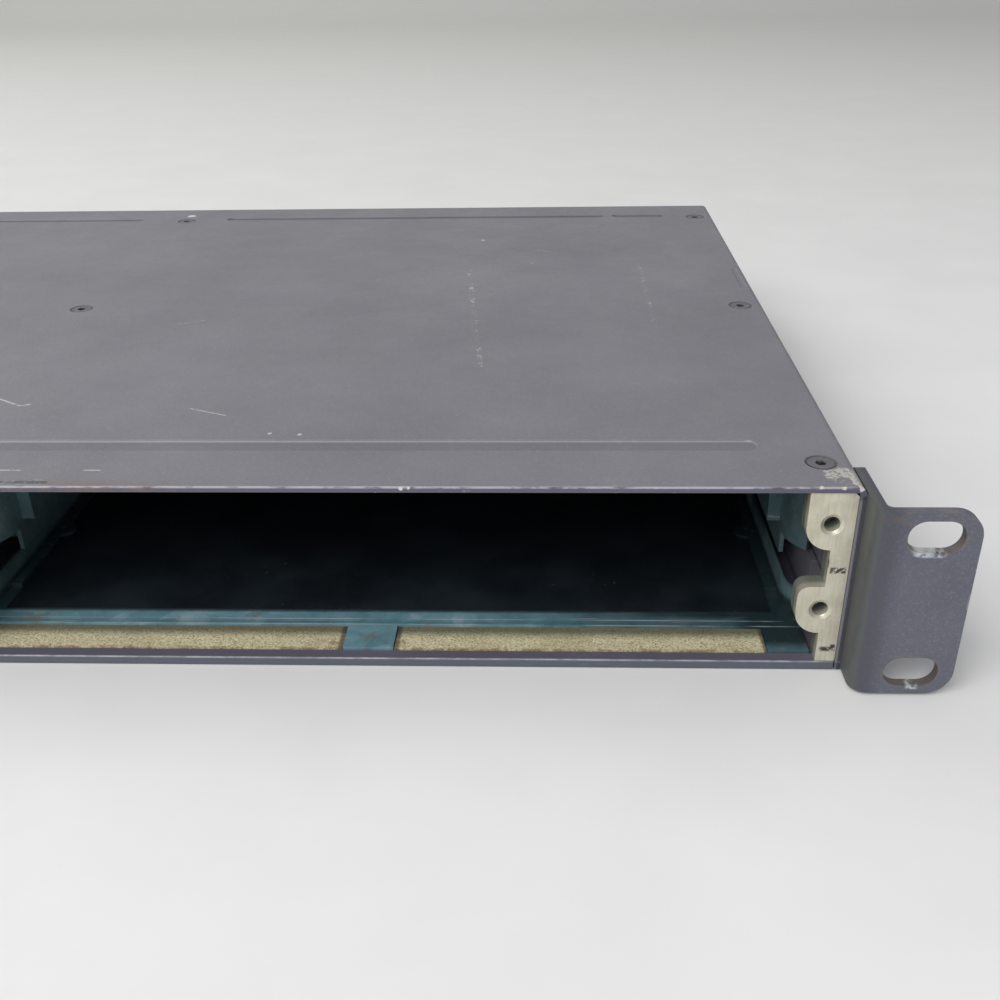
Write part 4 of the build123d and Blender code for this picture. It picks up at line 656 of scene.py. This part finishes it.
def plain_metal(name, dark, light, rough=(0.25, 0.45), stretch=None):
    """Small metal pieces: two tones, a drawn or cast grain, and rubbed patches."""
    made = Finish(name, metallic=1.0)
    cloud = made.noise(2.6, 4, 0.65)
    colour = made.ramp(cloud, (0.32, dark), (0.7, light))
    grain = made.noise(0.3, 2, 0.6, stretch=stretch)
    colour = made.mix(made.span(grain, 0.5, 0.85, 0.0, 0.25), colour, tone(40, 40, 42))
    shine = made.span(made.noise(1.4, 3, 0.7), 0.3, 0.7, *rough)
    return made.finish(colour, shine, [(grain, 0.01)])


def moulded(name, dark, light, rough=(0.42, 0.6)):
    """Moulded plastic: spark-eroded grain, faint flow lines, rubbed shinier in patches."""
    made = Finish(name)
    cloud = made.noise(5, 4, 0.6)
    colour = made.ramp(cloud, (0.3, dark), (0.7, light))
    grain = made.noise(0.35, 2, 0.6)
    lint = made.specks(2.4, 0.06, 0.4)
    colour = made.mix(made.calc("MULTIPLY", lint, 0.35), colour, dust)
    shine = made.span(made.noise(6, 3, 0.7), 0.3, 0.7, *rough)
    return made.finish(colour, shine, [(grain, 0.012)])


def circuit_board(name, dark, light):
    """Solder resist over faint copper tracks and round pads."""
    made = Finish(name)
    tracks = made.add("TexBrick")
    made.feed(tracks.inputs["Vector"], made.place)
    tracks.inputs["Scale"].default_value = 1 / (9 * MM)
    tracks.inputs["Mortar Size"].default_value = 0.045
    colour = made.mix(made.calc("MULTIPLY", tracks.outputs["Fac"], 0.6), dark, light)
    pads = made.span(made.cells(3.4), 0.12, 0.16, 1.0, 0.0)
    colour = made.mix(made.calc("MULTIPLY", pads, 0.7), colour, tone(196, 178, 120))
    rough = made.span(made.noise(9, 3), 0.3, 0.7, 0.28, 0.42)
    return made.finish(colour, rough, [(tracks.outputs["Fac"], 0.03), (pads, 0.04)])


def dark_screws():
    """Blackened screws, rubbed bright round the socket and rim."""
    made = Finish("screw_dark")
    cloud = made.noise(0.9, 4, 0.7)
    colour = made.ramp(cloud, (0.36, tone(52, 50, 54)), (0.62, tone(88, 84, 90)), (0.74, tone(150, 146, 142)))
    on_cover = made.span(made.z, top - 0.5 * MM, top - 0.3 * MM)
    painted = made.ramp(
        cloud, (0.36, tone(90, 88, 94)), (0.62, tone(104, 102, 108)), (0.76, tone(150, 148, 150))
    )
    colour = made.mix(on_cover, colour, painted)
    # Painted shade in the gap round each screw head.
    colour = made.mix(made.calc("MULTIPLY", made.screw_rim_shade(2.95), 0.7), colour, tone(46, 44, 50))
    metallic = made.blend(on_cover, 0.6, 0.1)
    rough = made.span(made.noise(0.7, 2), 0.3, 0.7, 0.35, 0.55)
    return made.finish(colour, rough, [(cloud, 0.03)], metallic=metallic)


def inlet_plastic():
    """Black moulding whose three pins are nickel-plated brass."""
    made = Finish("inlet_black")
    grain = made.noise(0.3, 2, 0.6)
    low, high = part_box("mains_inlet")
    centre = (low[0] + high[0]) / 2
    middle = (low[2] + high[2]) / 2
    pins = made.either(
        *[
            made.both(
                made.within(made.x, centre + across * MM, 1.02 * MM, 0.02 * MM),
                made.within(made.z, middle + height * MM, 2.02 * MM, 0.02 * MM),
            )
            for across, height in ((-7, -2.5), (0, 2.5), (7, -2.5))
        ]
    )
    pins = made.both(pins, made.span(made.y, high[1] - 17.4 * MM, high[1] - 17.2 * MM))
    colour = made.ramp(made.noise(5, 3), (0.3, tone(24, 24, 26)), (0.7, tone(34, 34, 36)))
    colour = made.mix(pins, colour, tone(198, 194, 184))
    rough = made.blend(pins, made.span(made.noise(6, 3), 0.3, 0.7, 0.42, 0.58), 0.28)
    return made.finish(colour, rough, [(grain, 0.012)], metallic=pins)


def ribbon_cable():
    """Grey flat cable, ridged along its wires, with painted shade between them."""
    made = Finish("ribbon_grey")
    ridges = made.add("TexWave", wave_type="BANDS", bands_direction="Z")
    made.feed(ridges.inputs["Vector"], made.place)
    ridges.inputs["Scale"].default_value = 1 / (1.27 * MM) / 3.2
    # Painted shade and highlight: darker in the troughs between wires, lighter on the ridges.
    colour = made.ramp(ridges.outputs["Fac"], (0.2, tone(128, 128, 130)), (0.8, tone(160, 160, 162)))
    rough = made.span(made.noise(5, 2), 0.3, 0.7, 0.45, 0.6)
    return made.finish(colour, rough, [(ridges.outputs["Fac"], 0.2)])


def capacitor_cans():
    """Bare aluminium tops over dark sleeves, told apart by height."""
    made = Finish("capacitor_can")
    low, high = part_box("board_capacitors")
    bare = made.span(made.z, high[2] - 0.6 * MM, high[2] - 0.3 * MM)
    sleeve = made.ramp(made.noise(4, 3), (0.3, tone(30, 34, 58)), (0.7, tone(40, 46, 74)))
    colour = made.mix(bare, sleeve, tone(190, 190, 192))
    rough = made.span(made.noise(2, 2), 0.3, 0.7, 0.3, 0.45)
    return made.finish(colour, rough, [(made.noise(0.3, 2), 0.008)], metallic=bare)


finishes = {
    "chassis_paint": cover_paint(),
    "ear_paint": ear_paint(),
    "galvanised_steel": galvanised(),
    "gasket_tan": gasket_foam(),
    "black_film": black_film(),
    "bracket_nickel": bracket_plate(),
    "screw_dark": dark_screws(),
    "screw_bright": plain_metal("screw_bright", tone(150, 150, 148), tone(205, 204, 198)),
    "standoff_brass": plain_metal("standoff_brass", tone(170, 140, 84), tone(214, 184, 118)),
    "earth_brass": plain_metal("earth_brass", tone(168, 138, 82), tone(216, 188, 124)),
    "port_shell": plain_metal(
        "port_shell", tone(148, 148, 146), tone(196, 196, 192), (0.28, 0.42), (1, 0.1, 1)
    ),
    "board_green": circuit_board("board_green", tone(14, 62, 36), tone(28, 88, 52)),
    "board_tan": circuit_board("board_tan", tone(120, 88, 48), tone(148, 112, 66)),
    "chip_lid": plain_metal("chip_lid", tone(150, 150, 152), tone(190, 190, 192)),
    "heatsink_aluminium": plain_metal(
        "heatsink_aluminium", tone(176, 177, 180), tone(208, 209, 212), (0.3, 0.5), (1, 0.05, 1)
    ),
    "socket_black": moulded("socket_black", tone(28, 28, 30), tone(40, 40, 42)),
    "capacitor_can": capacitor_cans(),
    "battery_steel": plain_metal("battery_steel", tone(170, 170, 170), tone(210, 210, 210), (0.15, 0.3)),
    "light_pipe_clear": moulded("light_pipe_clear", tone(196, 206, 200), tone(216, 224, 218), (0.12, 0.25)),
    "button_grey": moulded("button_grey", tone(96, 94, 102), tone(110, 108, 116), (0.35, 0.5)),
    "connector_plastic": moulded("connector_plastic", tone(206, 200, 184), tone(222, 216, 200)),
    "ribbon_grey": ribbon_cable(),
    "fan_black": moulded("fan_black", tone(26, 26, 28), tone(36, 36, 39)),
    "fan_rotor_black": moulded("fan_rotor_black", tone(30, 30, 33), tone(44, 44, 47), (0.3, 0.45)),
    "psu_parts": moulded("psu_parts", tone(70, 62, 44), tone(120, 108, 74)),
    "inlet_black": inlet_plastic(),
    "rocker_black": moulded("rocker_black", tone(20, 20, 22), tone(30, 30, 32), (0.22, 0.36)),
}
panel_finish = panel_paint()

for entry in frame["record"]["subparts"]:
    node = nodes[entry["node"]]
    finish = panel_finish if entry["node"] == "front_panel" else finishes[entry["material_slot"]]
    for place in node.material_slots:
        place.material = finish


def soften(name, width_mm):
    """Break a CAD node's sharp edges with a small bevel."""
    weld = nodes[name].modifiers.new("weld", "WELD")
    weld.merge_threshold = 0.001 * MM
    bevel = nodes[name].modifiers.new("bevel", "BEVEL")
    bevel.width = width_mm * MM
    bevel.segments = 2
    bevel.limit_method = "ANGLE"
    bevel.angle_limit = math.radians(40)
    smooth = nodes[name].modifiers.new("smooth", "WEIGHTED_NORMAL")
    smooth.keep_sharp = True


for name, width in (
    ("rack_ear_left", 0.3),
    ("rack_ear_right", 0.3),
    ("wrap_cover", 0.14),
    ("base_pan", 0.3),
    ("bay_bracket_left", 0.2),
    ("bay_bracket_right", 0.2),
    ("power_button", 0.15),
    ("mains_rocker", 0.3),
):
    soften(name, width)


# ---------------------------------------------------------------- added pieces
def piece(name, shape, material, body):
    """Make a shown piece of a bmesh and let it ride on a CAD body."""
    mesh = bpy.data.meshes.new(name)
    bmesh.ops.recalc_face_normals(shape, faces=shape.faces)
    shape.to_mesh(mesh)
    shape.free()
    made = bpy.data.objects.new(name, mesh)
    scene.collection.objects.link(made)
    mesh.materials.append(material)
    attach(made, body)


def slab(shape, low, high, bevel_mm=0.0, turn=None):
    """Add a box between two corners, in millimetres, its edges bevelled by bevel_mm."""
    centre = Vector([(a + b) / 2 for a, b in zip(low, high)]) * MM
    size = [(b - a) * MM for a, b in zip(low, high)]
    where = Matrix.Translation(centre) @ (turn or Matrix.Identity(4)) @ Matrix.Diagonal((*size, 1))
    verts = bmesh.ops.create_cube(shape, size=1.0, matrix=where)["verts"]
    if bevel_mm:
        edges = list({edge for vert in verts for edge in vert.link_edges})
        bmesh.ops.bevel(shape, geom=edges, offset=bevel_mm * MM, segments=2, affect="EDGES")


front_mm = front / MM
port_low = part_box("ethernet_block")[0]
port_pitch = 15.9
lower_row, upper_row = 11.2, 24.6
console_centres = (-151.0, -131.0)
port_centres = [port_low[0] / MM + port_pitch * (k + 0.5) for k in range(4)]
sockets = [(x, z) for x in port_centres for z in (lower_row, upper_row)]
sockets += [(x, lower_row) for x in console_centres]

contacts = bmesh.new()
lights = bmesh.new()
lean = Matrix.Rotation(math.radians(-24), 4, "X")
for x, z in sockets:
    for wire in range(8):
        left = x + (wire - 3.5) * 1.02 - 0.18
        right = left + 0.36
        slab(contacts, (left, front_mm + 2.6, z + 1.9), (right, front_mm + 10.6, z + 2.2), 0.05, lean)
        slab(contacts, (left, front_mm + 10.2, z + 0.1), (right, front_mm + 12.9, z + 0.5), 0.05)
    for side in (-1, 1):
        slab(
            lights,
            (x + side * 4.7 - 1.0, front_mm + 0.25, z + 8.95),
            (x + side * 4.7 + 1.0, front_mm + 0.9, z + 9.95),
            0.12,
        )
gold = plain_metal("contact_gold", tone(196, 158, 76), tone(230, 196, 112), (0.2, 0.35))
piece("port_contacts", contacts, gold, "chassis")
piece("port_lights", lights, finishes["light_pipe_clear"], "chassis")

white_print = moulded("printed_white", tone(196, 196, 194), tone(214, 214, 212), (0.5, 0.65))


def ring(shape, centre, radius, width, start, sweep, depth):
    """Add an open arc of print that faces the front, in millimetres and degrees."""
    steps = 28
    loops = []
    for k in range(steps + 1):
        angle = math.radians(start + sweep * k / steps)
        spoke = Vector((math.cos(angle), 0, math.sin(angle)))
        inner, outer = centre + spoke * (radius - width), centre + spoke * radius
        lift = Vector((0, -depth, 0))
        loops.append([shape.verts.new(place * MM) for place in (inner, outer, outer + lift, inner + lift)])
    for first, second in zip(loops, loops[1:]):
        for k in range(4):
            shape.faces.new((first[k], first[(k + 1) % 4], second[(k + 1) % 4], second[k]))
    shape.faces.new(loops[0])
    shape.faces.new(loops[-1])


button_low, button_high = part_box("power_button")
button_middle = (Vector(button_low) + Vector(button_high)) / 2
button_centre = Vector((button_middle.x, button_low[1], button_middle.z)) / MM
sign = bmesh.new()
ring(sign, button_centre, 1.7, 0.3, 125, 290, 0.04)
slab(
    sign,
    (button_centre.x - 0.16, button_centre.y - 0.05, button_centre.z + 0.4),
    (button_centre.x + 0.16, button_centre.y + 0.02, button_centre.z + 2.0),
)
piece("power_sign", sign, white_print, "power_button")


# ---------------------------------------------------------------- floor, light and camera
def sweep_floor():
    """One pale sheet that runs under the object and curves up behind it."""
    shape = bmesh.new()
    flat_end, curve = 1.6, 0.8
    profile = [(-3.0, 0.0), (flat_end, 0.0)]
    for k in range(1, 16):
        angle = math.radians(6 * k)
        profile.append((flat_end + curve * math.sin(angle), curve - curve * math.cos(angle)))
    profile.append((flat_end + curve, 3.0))
    rows = [[shape.verts.new((x, y, z)) for x in (-4.0, 4.0)] for y, z in profile]
    for near, far in zip(rows, rows[1:]):
        shape.faces.new((near[0], near[1], far[1], far[0]))
    mesh = bpy.data.meshes.new("floor")
    shape.to_mesh(mesh)
    shape.free()
    for face in mesh.polygons:
        face.use_smooth = True
    made = bpy.data.objects.new("floor", mesh)
    scene.collection.objects.link(made)
    pale = Finish("floor_pale")
    colour = pale.ramp(pale.noise(60, 4, 0.6), (0.35, tone(219, 218, 218)), (0.7, tone(224, 223, 223)))
    # Painted light falloff: the sheet is darker toward the back.
    colour = pale.mix(pale.span(pale.y, -0.1, 1.4), colour, tone(211, 210, 206))
    rough = pale.span(pale.noise(25, 3), 0.3, 0.7, 0.55, 0.68)
    mesh.materials.append(pale.finish(colour, rough, [(pale.noise(2, 3), 0.02)]))


def soft_light(name, place, target, size, power, colour):
    """A rectangular area light at place that looks at target, in metres and watts."""
    data = bpy.data.lights.new(name, "AREA")
    data.shape = "RECTANGLE"
    data.size, data.size_y = size
    data.energy = power
    data.color = colour
    made = bpy.data.objects.new(name, data)
    made.location = place
    made.rotation_euler = (Vector(target) - Vector(place)).to_track_quat("-Z", "Y").to_euler()
    scene.collection.objects.link(made)


sweep_floor()
soft_light("overhead", (-1.1, 0.6, 1.4), (0.0, 0.1, 0.0), (1.8, 1.4), 13, (1.0, 0.99, 0.97))
soft_light("front_key", (-0.7, -1.3, 1.5), (0.1, 0.0, 0.0), (1.6, 1.2), 39, (1.0, 1.0, 0.99))

world = bpy.data.worlds.new("studio")
world.use_nodes = True
world.node_tree.nodes["Background"].inputs["Color"].default_value = (0.93, 0.96, 1.0, 1.0)
world.node_tree.nodes["Background"].inputs["Strength"].default_value = 0.4
scene.world = world
scene.view_settings.view_transform = "Standard"

camera_data = bpy.data.cameras.new("camera")
camera_data.sensor_width = 36
camera_data.lens = 38.8
camera_data.clip_start = 0.01
camera = bpy.data.objects.new("camera", camera_data)
camera_place = (0.1573, -0.3095, 0.1428)
heading, downward, roll = 2.608, 28.094, -1.125
turn = Matrix.Rotation(math.radians(heading), 4, "Z")
turn = turn @ Matrix.Rotation(math.radians(90 - downward), 4, "X")
turn = turn @ Matrix.Rotation(math.radians(roll), 4, "Z")
camera.matrix_world = Matrix.Translation(camera_place) @ turn
scene.collection.objects.link(camera)
scene.camera = camera
